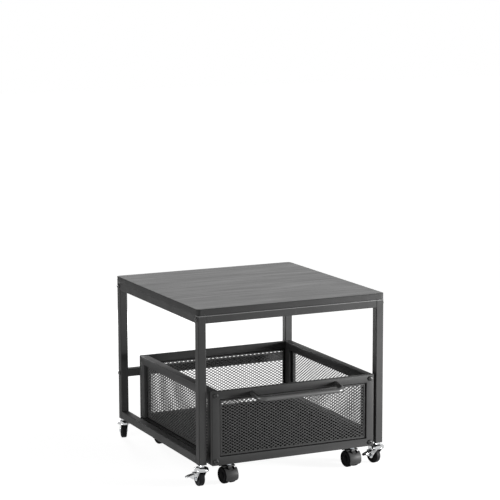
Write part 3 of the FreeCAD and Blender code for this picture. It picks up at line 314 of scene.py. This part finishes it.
# %% [markdown]
# The board is chipboard faced with black wood-grain melamine, a printed paper that is pressed on with a
# grained plate. Print and pores run from side to side, so the noise is drawn out along X: long, thin
# streaks that change the colour and the gloss a little and cut fine pores.

# %% Board laminate
STREAK_MM, STREAK_LONG = 3.2, 46
PORE_MM, PORE_LONG, PORE_DEEP = 1.6, 40, 0.06


def wood_laminate(name, dark, pale, low, high, gloss=0.5):
    """Black wood-grain melamine: streaks 3 mm wide and 150 mm long, with pores across the gloss."""
    material, tree, shader, place = finish(name, dark, low, gloss=gloss)
    streaks = grain(tree, place, STREAK_MM, detail=4.0, stretch=(STREAK_LONG, 1, 1))
    vary_colour(tree, shader, streaks, dark, pale)
    vary(tree, shader, "Roughness", streaks, low, high)
    bump(tree, shader, grain(tree, place, PORE_MM, detail=3.0, stretch=(PORE_LONG, 1, 1)), PORE_DEEP)
    return material


# Pressed melamine: grey and black streaks, and a gloss that mirrors what is near, softly and in lines.
board_face = wood_laminate("black_woodgrain_melamine", "#161616", "#363636", 0.27, 0.47)
# A matt board of the same kind for the basket's floor: almost black, with no highlight.
floor_face = wood_laminate("black_floor_board", "#0a0a0a", "#151515", 0.65, 0.8, gloss=0.01)
# Extruded ABS: an even, dull grey rim, against which the glossy face stands out.
edge_band = thin_coat("dull_abs_edge_band", "#383838", "#414141", 0.5, 0.58, gloss=0.06)
print("laminates", board_face.name, floor_face.name, "and rim", edge_band.name)

# %% [markdown]
# The stand's casters are bright: stamped steel with decorative chrome, so they mirror the white studio and
# the dark frame. Nuts, axles and the stems of the basket's casters are zinc plated, a duller and bluer
# metal. Wheels and hoods are moulded black with a fine texture; the hoods' grey is painted light and the twin
# wheels' near black is painted shade. The bolts are black zinc under wax.

# %% Metals, rubber and plastic
MOULD_CLOUD_MM, MOULD_SHEEN_MM, PEBBLE_HIGH = 12, 9, 0.04


def metal(name, colour, low, high, spot_mm):
    """Bare metal whose gloss wanders a little from spot to spot."""
    material, tree, shader, place = finish(name, colour, low, metallic=1.0)
    vary(tree, shader, "Roughness", grain(tree, place, spot_mm), low, high)
    return material


def moulded(name, dark, pale, low, high, pebble_mm, gloss):
    """Moulded rubber or plastic with a pebbled skin, drawn coarser than life so that it shows."""
    material, tree, shader, place = finish(name, dark, low, gloss=gloss)
    vary_colour(tree, shader, grain(tree, place, MOULD_CLOUD_MM), dark, pale)
    vary(tree, shader, "Roughness", grain(tree, place, MOULD_SHEEN_MM), low, high)
    bump(tree, shader, grain(tree, place, pebble_mm), PEBBLE_HIGH)
    return material


# Chrome plate over stamped steel: sharp mirrors of white and black, side by side.
chrome = metal("decorative_chrome", "#c4c5c6", 0.05, 0.11, spot_mm=14)
# Barrel-plated zinc: a soft, bluish grey that blurs what it mirrors.
zinc = metal("zinc_plate", "#b4b8bd", 0.22, 0.34, spot_mm=6)
# Black passivated zinc under wax: dark heads with a small gleam on the crown.
black_zinc = thin_coat("waxed_black_zinc", "#0c0c0c", "#131313", 0.3, 0.36, gloss=0.5, peel_high=0.003)
# Moulded hard rubber: a dark tread with hardly any highlight.
tread = moulded("hard_black_rubber", "#161617", "#1f1f21", 0.42, 0.56, pebble_mm=1.4, gloss=0.06)
# Moulded nylon with painted shade: twin wheels coloured near black, darker than the rubber ones, and duller.
twin_tread_painted_shade = moulded("black_nylon_tread_painted_shade", "#0b0b0c", "#111112", 0.5, 0.6, pebble_mm=1.4, gloss=0.02)
# Painted shade: a deep black line with no shine, for the shadow in the groove between tube and strip.
painted_shade_line = moulded("epdm_rubber_seal", "#060606", "#0a0a0a", 0.6, 0.7, pebble_mm=1.5, gloss=0.02)
# Moulded black nylon with painted light: the hood is coloured a mid grey, as its lit front looks, with a soft
# sheen.
hood_painted_lit = moulded("black_nylon_hood_painted_lit", "#333333", "#3c3c3c", 0.42, 0.52, pebble_mm=1.8, gloss=0.1)
print("metals", chrome.name, zinc.name, black_zinc.name, "and rubber", tread.name, painted_shade_line.name)

# %% [markdown]
# The record names a slot for every node of the drawing, so one table of slots gives each node its finish.
# Only the legs and the two rails under the board differ: their slot is the frame's, and they take the coat
# with the painted highlight along the top edge.

# %% Finishes on the drawing's nodes
FINISH = {
    "board": board_face, "frame_paint": satin_black, "basket_paint": satin_black,
    "handle_paint": handle_black, "floor_board": floor_face, "black_bolt": black_zinc, "zinc": zinc,
    "chrome": chrome, "wheel_black": tread, "black_plastic": hood_painted_lit}
CORNERS = [f"{row}_{side}" for row in ("front", "rear") for side in ("left", "right")]
HIGHLIGHT_EDGED = ["front_rail", "rear_rail"] + [f"{corner}_leg" for corner in CORNERS]

slot_of = {s["node"]: s["material_slot"] for s in frame["record"]["subparts"]}
for name, thing in nodes.items():
    for i in range(len(thing.data.materials)):
        thing.data.materials[i] = FINISH[slot_of[name]]
# These nodes take the coat with the painted highlight.
for name in HIGHLIGHT_EDGED:
    nodes[name].data.materials[0] = painted_highlight_black
print("finishes", len(FINISH), "on", len(nodes), "nodes")

# %% [markdown]
# ## Helpers for mesh pieces
# Most pieces that follow are skins over a few loops of points, so the small helpers for that come first:
# quads between loops, a finished mesh that is smooth but keeps its sharp edges, and the calls that put it
# on its body.

# %% Helpers for mesh pieces
SHARP_EDGE = math.radians(32)


def skin(bm, loops, closed=False):
    """Quads between neighbouring loops."""
    pairs = list(zip(loops, loops[1:])) + ([(loops[-1], loops[0])] if closed else [])
    for first, second in pairs:
        for i in range(len(first)):
            j = (i + 1) % len(first)
            bm.faces.new((first[i], first[j], second[j], second[i]))


def smooth_mesh(bm, name, place, sharp=SHARP_EDGE):
    """The bmesh as a mesh at its place, smooth apart from edges over an angle."""
    mesh = bpy.data.meshes.new(name)
    bm.to_mesh(mesh)
    bm.free()
    mesh.transform(place)
    mesh.shade_smooth()
    mesh.set_sharp_from_angle(angle=sharp)
    return mesh


def piece(name, mesh, material, body, replaced):
    """Puts a finished mesh in the scene on a body, in place of a CAD node."""
    mesh.materials.clear()
    mesh.materials.append(material)
    thing = bpy.data.objects.new(name, mesh)
    scene.collection.objects.link(thing)
    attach(thing, body)
    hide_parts(replaced)


TO_METRES = Matrix.Scale(MM, 4)
print("edges over", round(math.degrees(SHARP_EDGE)), "degrees stay sharp")

# %% [markdown]
# ## Board
# The board's faces are laminate, but its rim is not: a band of dull black plastic, glued round the
# chipboard and trimmed to a soft edge. Two pieces show that. The core is a slab with round corners, and the
# band is a thin ring round it whose upper and lower edges are rounded, so that a fine dark crease stays
# between the rim and the rails.

# %% Board core
TOP_CORNER, CORNER_STEPS = 10.0, 8
BAND_THICK = 1.4


def board_loop(bm, half, inset, z):
    """Vertices round the board in millimetres, inset from its outline, with round corners."""
    radius = TOP_CORNER - inset
    loop = []
    for k, (sx, sy) in enumerate(((1, 1), (-1, 1), (-1, -1), (1, -1))):
        for i in range(CORNER_STEPS + 1):
            a = math.pi / 2 * (k + i / CORNER_STEPS)
            loop.append(bm.verts.new((sx * (half.x - TOP_CORNER) + radius * math.cos(a),
                                      sy * (half.y - TOP_CORNER) + radius * math.sin(a), z)))
    return loop


board_low, board_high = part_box("tabletop")
half_board = (board_high - board_low) / 2 / MM
board_place = Matrix.Translation((board_low + board_high) / 2) @ TO_METRES
bm = bmesh.new()
core = [board_loop(bm, half_board, BAND_THICK, z) for z in (-half_board.z, half_board.z)]
skin(bm, core)
for face in core:
    bm.faces.new(face)
bmesh.ops.recalc_face_normals(bm, faces=bm.faces)
slab = smooth_mesh(bm, "board_core", board_place)
piece("board_core", slab, board_face, "stand", "tabletop")
print("board", [round(2 * v, 1) for v in half_board])

# %% Board edge band
BAND_STEP = 0.15
UPPER_ROUND, LOWER_ROUND = (0.8, 1.6), (1.3, 2.6)
ROUND_STEPS = 4

bm = bmesh.new()
band_half = half_board.z - BAND_STEP
loops = [board_loop(bm, half_board, BAND_THICK, sign * band_half) for sign in (1, -1)]
for sign, (deep, tall) in ((-1, LOWER_ROUND), (1, UPPER_ROUND)):
    for i in range(ROUND_STEPS + 1)[::-sign]:
        a = math.pi / 2 * i / ROUND_STEPS
        inset, drop = deep * (1 - math.sin(a)), tall * (1 - math.cos(a))
        loops.append(board_loop(bm, half_board, inset, sign * (band_half - drop)))
skin(bm, loops, closed=True)
bmesh.ops.recalc_face_normals(bm, faces=bm.faces)
band = smooth_mesh(bm, "board_edge_band", board_place)
piece("board_edge_band", band, edge_band, "stand", "tabletop")
print("edge band", round(2 * band_half, 1), "mm tall,", len(loops), "loops")

# %% [markdown]
# ## Basket panels
# Each wall of the basket is a frame of square tube with a flat strip inside it, and the mesh is held by the
# strip. A narrow black ring in the corner between tube and strip is painted shade: it stands for the shadow
# in the groove there, a thin dark line round the window. The drawing has these as one plain solid, so each
# wall is made again from rings with rounded edges: a wide one for the tube, a thin one for the strip, and a
# narrow one, a little thicker than the strip, for the painted shade line.

# %% Helpers for panels
PANELS = {"front_panel": "X", "rear_panel": "X", "left_panel": "Y", "right_panel": "Y"}
ROUND_SEGMENTS = 3


def panel_space(node):
    """A panel's matrix from (across, up, out) to the model, and its width, height and depth in mm."""
    low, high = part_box(node)
    size, middle = high - low, (low + high) / 2
    if PANELS[node] == "X":
        axes, wide, deep = ((1, 0, 0), (0, 0, 1), (0, -1, 0)), size.x, size.y
    else:
        axes, wide, deep = ((0, -1, 0), (0, 0, 1), (-1, 0, 0)), size.y, size.x
    place = Matrix.Translation(middle) @ Matrix([Vector(a) for a in axes]).transposed().to_4x4()
    return place, wide / MM, size.z / MM, deep / MM


def ring(name, place, wide, tall, deep, band, edge):
    """A rectangular ring with rounded edges and plain mitres, drawn in millimetres about its own centre."""
    bm = bmesh.new()
    loops = []
    for inset in (0, band):
        for z in (-deep / 2, deep / 2):
            a, b = wide / 2 - inset, tall / 2 - inset
            loops.append([bm.verts.new((x * a, y * b, z)) for x, y in ((-1, -1), (1, -1), (1, 1), (-1, 1))])
    outer_back, outer_front, inner_back, inner_front = loops
    skin(bm, [outer_front, inner_front, inner_back, outer_back], closed=True)
    bmesh.ops.recalc_face_normals(bm, faces=bm.faces)
    faces_of_ring = ((outer_front, inner_front), (outer_back, inner_back))
    mitres = {frozenset(ends) for outer, inner in faces_of_ring for ends in zip(outer, inner)}
    rounded = [e for e in bm.edges if frozenset(e.verts) not in mitres]
    bmesh.ops.bevel(bm, geom=rounded, offset=edge, segments=ROUND_SEGMENTS, profile=0.5,
                    affect="EDGES", clamp_overlap=True)
    return smooth_mesh(bm, name, place @ TO_METRES)


print("panels", list(PANELS))

# %% Tube frame, strip and painted shade line
TUBE_FACE, TUBE_EDGE = 20.0, 1.6
STRIP_WIDTH, STRIP_THICK, STRIP_EDGE = 6.0, 3.0, 0.4
# Width, thickness and edge of the black ring that paints the groove's shadow, in mm.
SHADE_LINE_WIDTH, SHADE_LINE_THICK, SHADE_LINE_EDGE = 2.0, 4.6, 0.7

for node in PANELS:
    place, wide, tall, deep = panel_space(node)
    window = wide - 2 * TUBE_FACE, tall - 2 * TUBE_FACE
    rings = {"tube": (satin_black, wide, tall, deep, TUBE_FACE, TUBE_EDGE),
             "strip": (satin_black, *window, STRIP_THICK, STRIP_WIDTH, STRIP_EDGE),
             "seal": (painted_shade_line, *window, SHADE_LINE_THICK, SHADE_LINE_WIDTH, SHADE_LINE_EDGE)}
    for kind, (material, *sizes) in rings.items():
        piece(f"{node}_{kind}", ring(kind, place, *sizes), material, "basket", node)
    print(node, "tube, strip and seal", round(wide), round(tall), round(deep))

# %% [markdown]
# ## Expanded metal
# Expanded metal is one sheet, slit in staggered rows and pulled open, so every strand is a flat strip that
# twists out of the sheet's plane, and strands meet in short, thicker knuckles. That is a rule, so Geometry
# Nodes make it: a grid of points half an opening apart, a tilted strip on every point that leans left or
# right in turn, and a knuckle on every second crossing.

# %% Helpers for geometry trees
FLOAT, WHOLE = "NodeSocketFloat", "NodeSocketInt"


def new_tree(name, inputs):
    """An empty geometry tree with named inputs, and its input node."""
    tree = bpy.data.node_groups.new(name, "GeometryNodeTree")
    tree.interface.new_socket("Geometry", in_out="INPUT", socket_type="NodeSocketGeometry")
    for label, kind in inputs.items():
        tree.interface.new_socket(label, in_out="INPUT", socket_type=kind)
    tree.interface.new_socket("Geometry", in_out="OUTPUT", socket_type="NodeSocketGeometry")
    return tree, tree.nodes.new("NodeGroupInput")


def end_tree(tree, geometry, material):
    """Ends a tree: instances become real faces, and the faces get their finish."""
    real = add_node(tree, "GeometryNodeRealizeInstances", {0: (geometry, 0)})
    painted = add_node(tree, "GeometryNodeSetMaterial", {"Geometry": (real, 0), "Material": material})
    add_node(tree, "NodeGroupOutput", {0: (painted, 0)})
    print("tree", tree.name, len(tree.nodes), "nodes")


def grow(name, tree, values, start=None):
    """Runs a geometry tree on a mesh and returns the result as a plain mesh."""
    thing = bpy.data.objects.new(name, start or bpy.data.meshes.new(name))
    scene.collection.objects.link(thing)
    modifier = thing.modifiers.new("grow", "NODES")
    modifier.node_group = tree
    for item in tree.interface.items_tree:
        if item.in_out == "INPUT" and item.name in values:
            modifier[item.identifier] = values[item.name]
    bpy.context.view_layer.update()
    evaluated = thing.evaluated_get(bpy.context.evaluated_depsgraph_get())
    mesh = bpy.data.meshes.new_from_object(evaluated)
    thing.modifiers.remove(modifier)
    bpy.data.objects.remove(thing)
    return mesh


mesh_tree, opening = new_tree("expanded_metal", {
    "Columns": WHOLE, "Rows": WHOLE, "Half Long": FLOAT, "Half Short": FLOAT, "Strand Wide": FLOAT,
    "Strand Thick": FLOAT, "Tilt": FLOAT})
print("mesh inputs", [socket.name for socket in opening.outputs if socket.name])

# %% Points of the mesh
MATH = "ShaderNodeMath"


def point_grid(tree, sizes, extra):
    """Points half an opening apart, with extra rows and columns, and each point's parity."""
    counts, spans = [], []
    for count, half in (("Columns", "Half Long"), ("Rows", "Half Short")):
        total = add_node(tree, MATH, {0: (sizes, count), 1: float(extra)}, operation="ADD")
        gaps = add_node(tree, MATH, {0: (total, 0), 1: 1.0}, operation="SUBTRACT")
        spans.append(add_node(tree, MATH, {0: (gaps, 0), 1: (sizes, half)}, operation="MULTIPLY"))
        counts.append(total)
    grid = add_node(tree, "GeometryNodeMeshGrid", {
        "Size X": (spans[0], 0), "Size Y": (spans[1], 0),
        "Vertices X": (counts[0], 0), "Vertices Y": (counts[1], 0)})
    index = add_node(tree, "GeometryNodeInputIndex")
    share = add_node(tree, MATH, {0: (index, 0), 1: (counts[1], 0)}, operation="DIVIDE")
    column = add_node(tree, MATH, {0: (share, 0)}, operation="FLOOR")
    row = add_node(tree, MATH, {0: (index, 0), 1: (counts[1], 0)}, operation="MODULO")
    both = add_node(tree, MATH, {0: (column, 0), 1: (row, 0)}, operation="ADD")
    parity = add_node(tree, MATH, {0: (both, 0), 1: 2.0}, operation="MODULO")
    return grid, parity


strand_points, strand_parity = point_grid(mesh_tree, opening, extra=0)
crossings, crossing_parity = point_grid(mesh_tree, opening, extra=1)
print("two grids of points,", len(mesh_tree.nodes), "nodes")

# %% Strands and knuckles
STRAND_LAP = 1.06
KNUCKLE_LONG, KNUCKLE_WIDE = 0.52, 1.5


def tilted_strip(tree, sizes, long_link, wide_link):
    """A flat strip along X, turned about its own length."""
    size = add_node(tree, "ShaderNodeCombineXYZ", {
        "X": long_link, "Y": wide_link, "Z": (sizes, "Strand Thick")})
    block = add_node(tree, "GeometryNodeMeshCube", {"Size": (size, 0)})
    lean = add_node(tree, "ShaderNodeCombineXYZ", {"X": (sizes, "Tilt")})
    return add_node(tree, "GeometryNodeTransform", {"Geometry": (block, 0), "Rotation": (lean, 0)})


slope = add_node(mesh_tree, MATH, {
    0: (opening, "Half Short"), 1: (opening, "Half Long")}, operation="ARCTAN2")
long2, short2 = (add_node(mesh_tree, MATH, {0: (opening, half), 1: 2.0}, operation="POWER")
                 for half in ("Half Long", "Half Short"))
sum2 = add_node(mesh_tree, MATH, {0: (long2, 0), 1: (short2, 0)}, operation="ADD")
reach = add_node(mesh_tree, MATH, {0: (sum2, 0)}, operation="SQRT")

lean_way = add_node(mesh_tree, "ShaderNodeMapRange", {
    "Value": (strand_parity, 0), "To Min": 1.0, "To Max": -1.0})
angle = add_node(mesh_tree, MATH, {0: (lean_way, 0), 1: (slope, 0)}, operation="MULTIPLY")
spin = add_node(mesh_tree, "ShaderNodeCombineXYZ", {"Z": (angle, 0)})
strand_long = add_node(mesh_tree, MATH, {0: (reach, 0), 1: STRAND_LAP}, operation="MULTIPLY")
strand = tilted_strip(mesh_tree, opening, (strand_long, 0), (opening, "Strand Wide"))
strands = add_node(mesh_tree, "GeometryNodeInstanceOnPoints", {
    "Points": (strand_points, 0), "Instance": (strand, 0), "Rotation": (spin, 0)})

meets = add_node(mesh_tree, "FunctionNodeCompare", {0: (crossing_parity, 0), 1: 0.5}, operation="LESS_THAN")
knuckle_long = add_node(mesh_tree, MATH, {
    0: (opening, "Half Long"), 1: KNUCKLE_LONG}, operation="MULTIPLY")
knuckle_wide = add_node(mesh_tree, MATH, {
    0: (opening, "Strand Wide"), 1: KNUCKLE_WIDE}, operation="MULTIPLY")
knuckle = tilted_strip(mesh_tree, opening, (knuckle_long, 0), (knuckle_wide, 0))
knuckles = add_node(mesh_tree, "GeometryNodeInstanceOnPoints", {
    "Points": (crossings, 0), "Selection": (meets, 0), "Instance": (knuckle, 0)})

joined = add_node(mesh_tree, "GeometryNodeJoinGeometry")
for half_of_mesh in (strands, knuckles):
    mesh_tree.links.new(half_of_mesh.outputs[0], joined.inputs[0])
end_tree(mesh_tree, joined, mesh_black)

# %% [markdown]
# One tree serves all four walls: only the counts and the size of an opening differ, so that a whole number
# of them fits between the strips. The mesh runs a little way into the strip, where it is welded.

# %% Mesh in each panel
LONG_WAY, SHORT_WAY = 12.0, 7.0
STRAND_WIDE, STRAND_THICK, STRAND_TILT = 1.7, 0.9, math.radians(34)
WELD_LAP = 1.5

for node in PANELS:
    place, wide, tall, _ = panel_space(node)
    window = [size - 2 * (TUBE_FACE + STRIP_WIDTH) for size in (wide, tall)]
    counts = [2 * round(span / pitch) for span, pitch in zip(window, (LONG_WAY, SHORT_WAY))]
    halves = [(span + 2 * WELD_LAP) / count for span, count in zip(window, counts)]
    net = grow(f"{node}_net", mesh_tree, {
        "Columns": counts[0], "Rows": counts[1], "Half Long": halves[0] * MM, "Half Short": halves[1] * MM,
        "Strand Wide": STRAND_WIDE * MM, "Strand Thick": STRAND_THICK * MM, "Tilt": STRAND_TILT})
    net.transform(place)
    piece(f"{node}_mesh", net, mesh_black, "basket", node)
    openings = [round(2 * half, 2) for half in halves]
    print(node, "mesh", counts, "openings of", openings, "mm,", len(net.polygons), "faces")

# %% [markdown]
# ## Handle
# The handle is a round bar, bent twice and screwed on from behind, that slopes down a little. It follows a
# path, so four points are enough to draw it: the tree rounds the two corners by the bend's radius and
# sweeps a circle along the line. Its legs start just inside the tube's wall, so no gap shows where they
# meet the paint.

# %% Handle tree
BEND_STEPS, BAR_SIDES = 12, 28

bow_tree, bow = new_tree("bow_handle", {"Bend": FLOAT, "Bar Radius": FLOAT})
line = add_node(bow_tree, "GeometryNodeMeshToCurve", {0: (bow, "Geometry")})
bent = add_node(bow_tree, "GeometryNodeFilletCurve", {
    "Curve": (line, 0), "Count": BEND_STEPS, "Radius": (bow, "Bend")}, mode="POLY")
section = add_node(bow_tree, "GeometryNodeCurvePrimitiveCircle", {
    "Resolution": BAR_SIDES, "Radius": (bow, "Bar Radius")})
swept = add_node(bow_tree, "GeometryNodeCurveToMesh", {
    "Curve": (bent, 0), "Profile Curve": (section, 0), "Fill Caps": True})
end_tree(bow_tree, swept, handle_black)

# %% Handle
HANDLE_BAR, HANDLE_SPAN, HANDLE_REACH, HANDLE_BEND = 12.0, 224.0, 45.0, 18.0
HANDLE_DROP, HANDLE_TILT, HANDLE_SUNK = 13.0, math.radians(8), 0.8
CAP_EDGE = math.radians(50)

panel_low, panel_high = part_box("front_panel")
root = Vector((0, panel_low.y, panel_high.z - HANDLE_DROP * MM))
outward = Vector((0, -math.cos(HANDLE_TILT), -math.sin(HANDLE_TILT)))
steps = [(-1, -HANDLE_SUNK), (-1, HANDLE_REACH), (1, HANDLE_REACH), (1, -HANDLE_SUNK)]
points = [root + Vector((sign * HANDLE_SPAN / 2 * MM, 0, 0)) + outward * out * MM for sign, out in steps]
handle_path = bpy.data.meshes.new("handle_path")
handle_path.from_pydata([tuple(p) for p in points], [(0, 1), (1, 2), (2, 3)], [])
bar = grow("handle_path", bow_tree, {
    "Bend": HANDLE_BEND * MM, "Bar Radius": HANDLE_BAR / 2 * MM}, handle_path)
bar.shade_smooth()
bar.set_sharp_from_angle(angle=CAP_EDGE)
piece("bow_handle", bar, handle_black, "basket", "basket_handle")
print("handle", len(bar.polygons), "faces")

# %% [markdown]
# ## Bolts
# Button-head bolts hold the rails to the legs and the basket's walls to each other. One bolt is drawn: a
# turned crown with a hexagon socket, on a plain shank. A tree then puts a copy on every point of a small
# cloud, and turns it to the way that its face looks.

# %% One bolt
BOLT_HEAD, BOLT_TALL, BOLT_SHANK = 12.0, 3.5, 6.0
KEY_WIDE, KEY_DEEP, KEY_SIDES = 4.0, 2.2, 6
UNDER_HEAD = 0.96
CROWN = ((0.1, 0.985), (0.3, 1.0), (0.55, 0.93), (0.78, 0.8), (0.93, 0.68), (1.0, 0.56))
ROUNDS = 24
CROWN_EDGE = math.radians(40)


def bolt_mesh(shank_long):
    """A button-head bolt along +Z, with z = 0 under its head; CROWN gives (rise, radius) as shares."""
    bm = bmesh.new()

    def circle(radius, z, count=ROUNDS):
        spots = [2 * math.pi * i / count for i in range(count)]
        return [bm.verts.new((radius * math.cos(a), radius * math.sin(a), z)) for a in spots]

    rings = [circle(BOLT_SHANK / 2, -shank_long), circle(BOLT_SHANK / 2, 0),
             circle(BOLT_HEAD / 2 * UNDER_HEAD, 0)]
    rings += [circle(BOLT_HEAD / 2 * out, BOLT_TALL * rise) for rise, out in CROWN]
    skin(bm, rings)
    bm.faces.new(list(reversed(rings[0])))
    rim, key_radius = rings[-1], KEY_WIDE / math.sqrt(3)
    mouth = circle(key_radius, BOLT_TALL, KEY_SIDES)
    share = ROUNDS // KEY_SIDES
    for i in range(KEY_SIDES):
        for k in range(share):
            a = (i * share + k) % ROUNDS
            bm.faces.new((rim[a], rim[(a + 1) % ROUNDS], mouth[i]))
        bm.faces.new((rim[(i + 1) * share % ROUNDS], mouth[(i + 1) % KEY_SIDES], mouth[i]))
    foot = circle(key_radius, BOLT_TALL - KEY_DEEP, KEY_SIDES)
    skin(bm, [mouth, foot])
    bm.faces.new(foot)
    bmesh.ops.recalc_face_normals(bm, faces=bm.faces)
    return smooth_mesh(bm, "button_bolt", TO_METRES, CROWN_EDGE)


print("bolt head", BOLT_HEAD, "mm wide,", len(CROWN), "rings on its crown")

# %% Bolt tree
bolt_tree, bolt_in = new_tree("bolts_on_points", {"Bolt": "NodeSocketObject"})
facing = add_node(bolt_tree, "GeometryNodeInputNamedAttribute", {"Name": "facing"}, data_type="FLOAT_VECTOR")
turned = add_node(bolt_tree, "FunctionNodeAlignRotationToVector", {"Vector": (facing, 0)}, axis="Z")
bolt = add_node(bolt_tree, "GeometryNodeObjectInfo", {"Object": (bolt_in, "Bolt")})
copies = add_node(bolt_tree, "GeometryNodeInstanceOnPoints", {
    "Points": (bolt_in, "Geometry"), "Instance": (bolt, "Geometry"), "Rotation": (turned, 0)})
end_tree(bolt_tree, copies, black_zinc)

# %% Bolts on their points
LEG_SHANK, CORNER_SHANK = 31.0, 21.0


def bolts(name, spots, shank_long, body, replaced):
    """Bolts at (place, facing) pairs, as one piece."""
    cloud = bpy.data.meshes.new(name)
    cloud.from_pydata([spot for spot, _ in spots], [], [])
    ways = cloud.attributes.new("facing", "FLOAT_VECTOR", "POINT")
    for i, (_, way) in enumerate(spots):
        ways.data[i].vector = way
    sample = bpy.data.objects.new("bolt_sample", bolt_mesh(shank_long))
    scene.collection.objects.link(sample)
    mesh = grow(name, bolt_tree, {"Bolt": sample}, cloud)
    bpy.data.objects.remove(sample)
    piece(name, mesh, black_zinc, body, replaced)
    print(name, len(spots), "bolts,", len(mesh.polygons), "faces")


half_head, head_tall = BOLT_HEAD / 2 * MM, BOLT_TALL * MM
low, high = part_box("frame_bolts")
top_row, low_row = high.z - half_head, low.z + half_head
front, rear = low.y + half_head, high.y - half_head
heads = [(front, top_row), (rear, top_row), (rear, low_row)]
sides = ((low.x + head_tall, -1), (high.x - head_tall, 1))
leg_spots = [((x, y, z), (way, 0, 0)) for x, way in sides for y, z in heads]
bolts("leg_bolts", leg_spots, LEG_SHANK, "stand", "frame_bolts")

low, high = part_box("panel_bolts")
columns, rows = (low.x + half_head, high.x - half_head), (low.z + half_head, high.z - half_head)
walls = ((low.y + head_tall, -1), (high.y - head_tall, 1))
corner_spots = [((x, y, z), (0, way, 0)) for y, way in walls for x in columns for z in rows]
bolts("corner_bolts", corner_spots, CORNER_SHANK, "basket", "panel_bolts")

# %% [markdown]
# ## Casters
# The stand's casters are pressed and turned from steel, and sheet metal never has knife edges: the press
# and the tumbler leave them a few tenths of a millimetre round. The drawing's edges are sharp, so each
# caster piece is a copy whose triangles are joined into clean faces and whose sharp edges get a small
# bevel, which catches the light.

# %% Softened copies
FLAT_WITHIN, SHARP_FROM, SMOOTH_UNDER = (math.radians(a) for a in (0.5, 35, 30))
WELD_WITHIN = 2e-6
SOFT_SEGMENTS = 2


def softened(node, edge_mm):
    """A copy of a CAD node's mesh with clean faces and rounded edges."""
    bm = bmesh.new()
    bm.from_mesh(nodes[node].data)
    bmesh.ops.remove_doubles(bm, verts=bm.verts, dist=WELD_WITHIN)
    bmesh.ops.dissolve_limit(bm, angle_limit=FLAT_WITHIN, verts=bm.verts, edges=bm.edges)
    sharp = [e for e in bm.edges if e.is_manifold and abs(e.calc_face_angle(0)) > SHARP_FROM]
    bmesh.ops.bevel(bm, geom=sharp, offset=edge_mm * MM, segments=SOFT_SEGMENTS, profile=0.5,
                    affect="EDGES", clamp_overlap=True)
    bmesh.ops.remove_doubles(bm, verts=bm.verts, dist=WELD_WITHIN)
    return smooth_mesh(bm, f"{node}_soft", Matrix.Identity(4), SMOOTH_UNDER)


print("edges over", round(math.degrees(SHARP_FROM)), "degrees are softened")

# %% Caster pieces
PRESSED, PEENED, TURNED, MOULDED = 0.35, 0.3, 0.3, 0.4

soft_pieces = [
    ("stand_caster_stems", "stand", chrome, TURNED), ("basket_caster_stems", "basket", zinc, TURNED)]
for corner in CORNERS:
    soft_pieces += [
        (f"{corner}_fork", f"{corner}_swivel", chrome, PRESSED),
        (f"{corner}_axle", f"{corner}_swivel", zinc, PEENED),
        (f"{corner}_wheel", f"{corner}_roller", tread, MOULDED)]
    if corner.startswith("front"):
        soft_pieces.append((f"{corner}_brake_lever", f"{corner}_brake", chrome, PRESSED))
    twin = f"basket_{corner}"
    soft_pieces += [
        (f"{twin}_hood", f"{twin}_swivel", hood_painted_lit, MOULDED),
        (f"{twin}_wheel_a", f"{twin}_roller_a", twin_tread_painted_shade, MOULDED),
        (f"{twin}_wheel_b", f"{twin}_roller_b", twin_tread_painted_shade, MOULDED)]
for node, body, material, edge in soft_pieces:
    mesh = softened(node, edge)
    piece(f"soft_{node}", mesh, material, body, node)
print("softened", len(soft_pieces), "pieces, the last with", len(mesh.polygons), "faces")
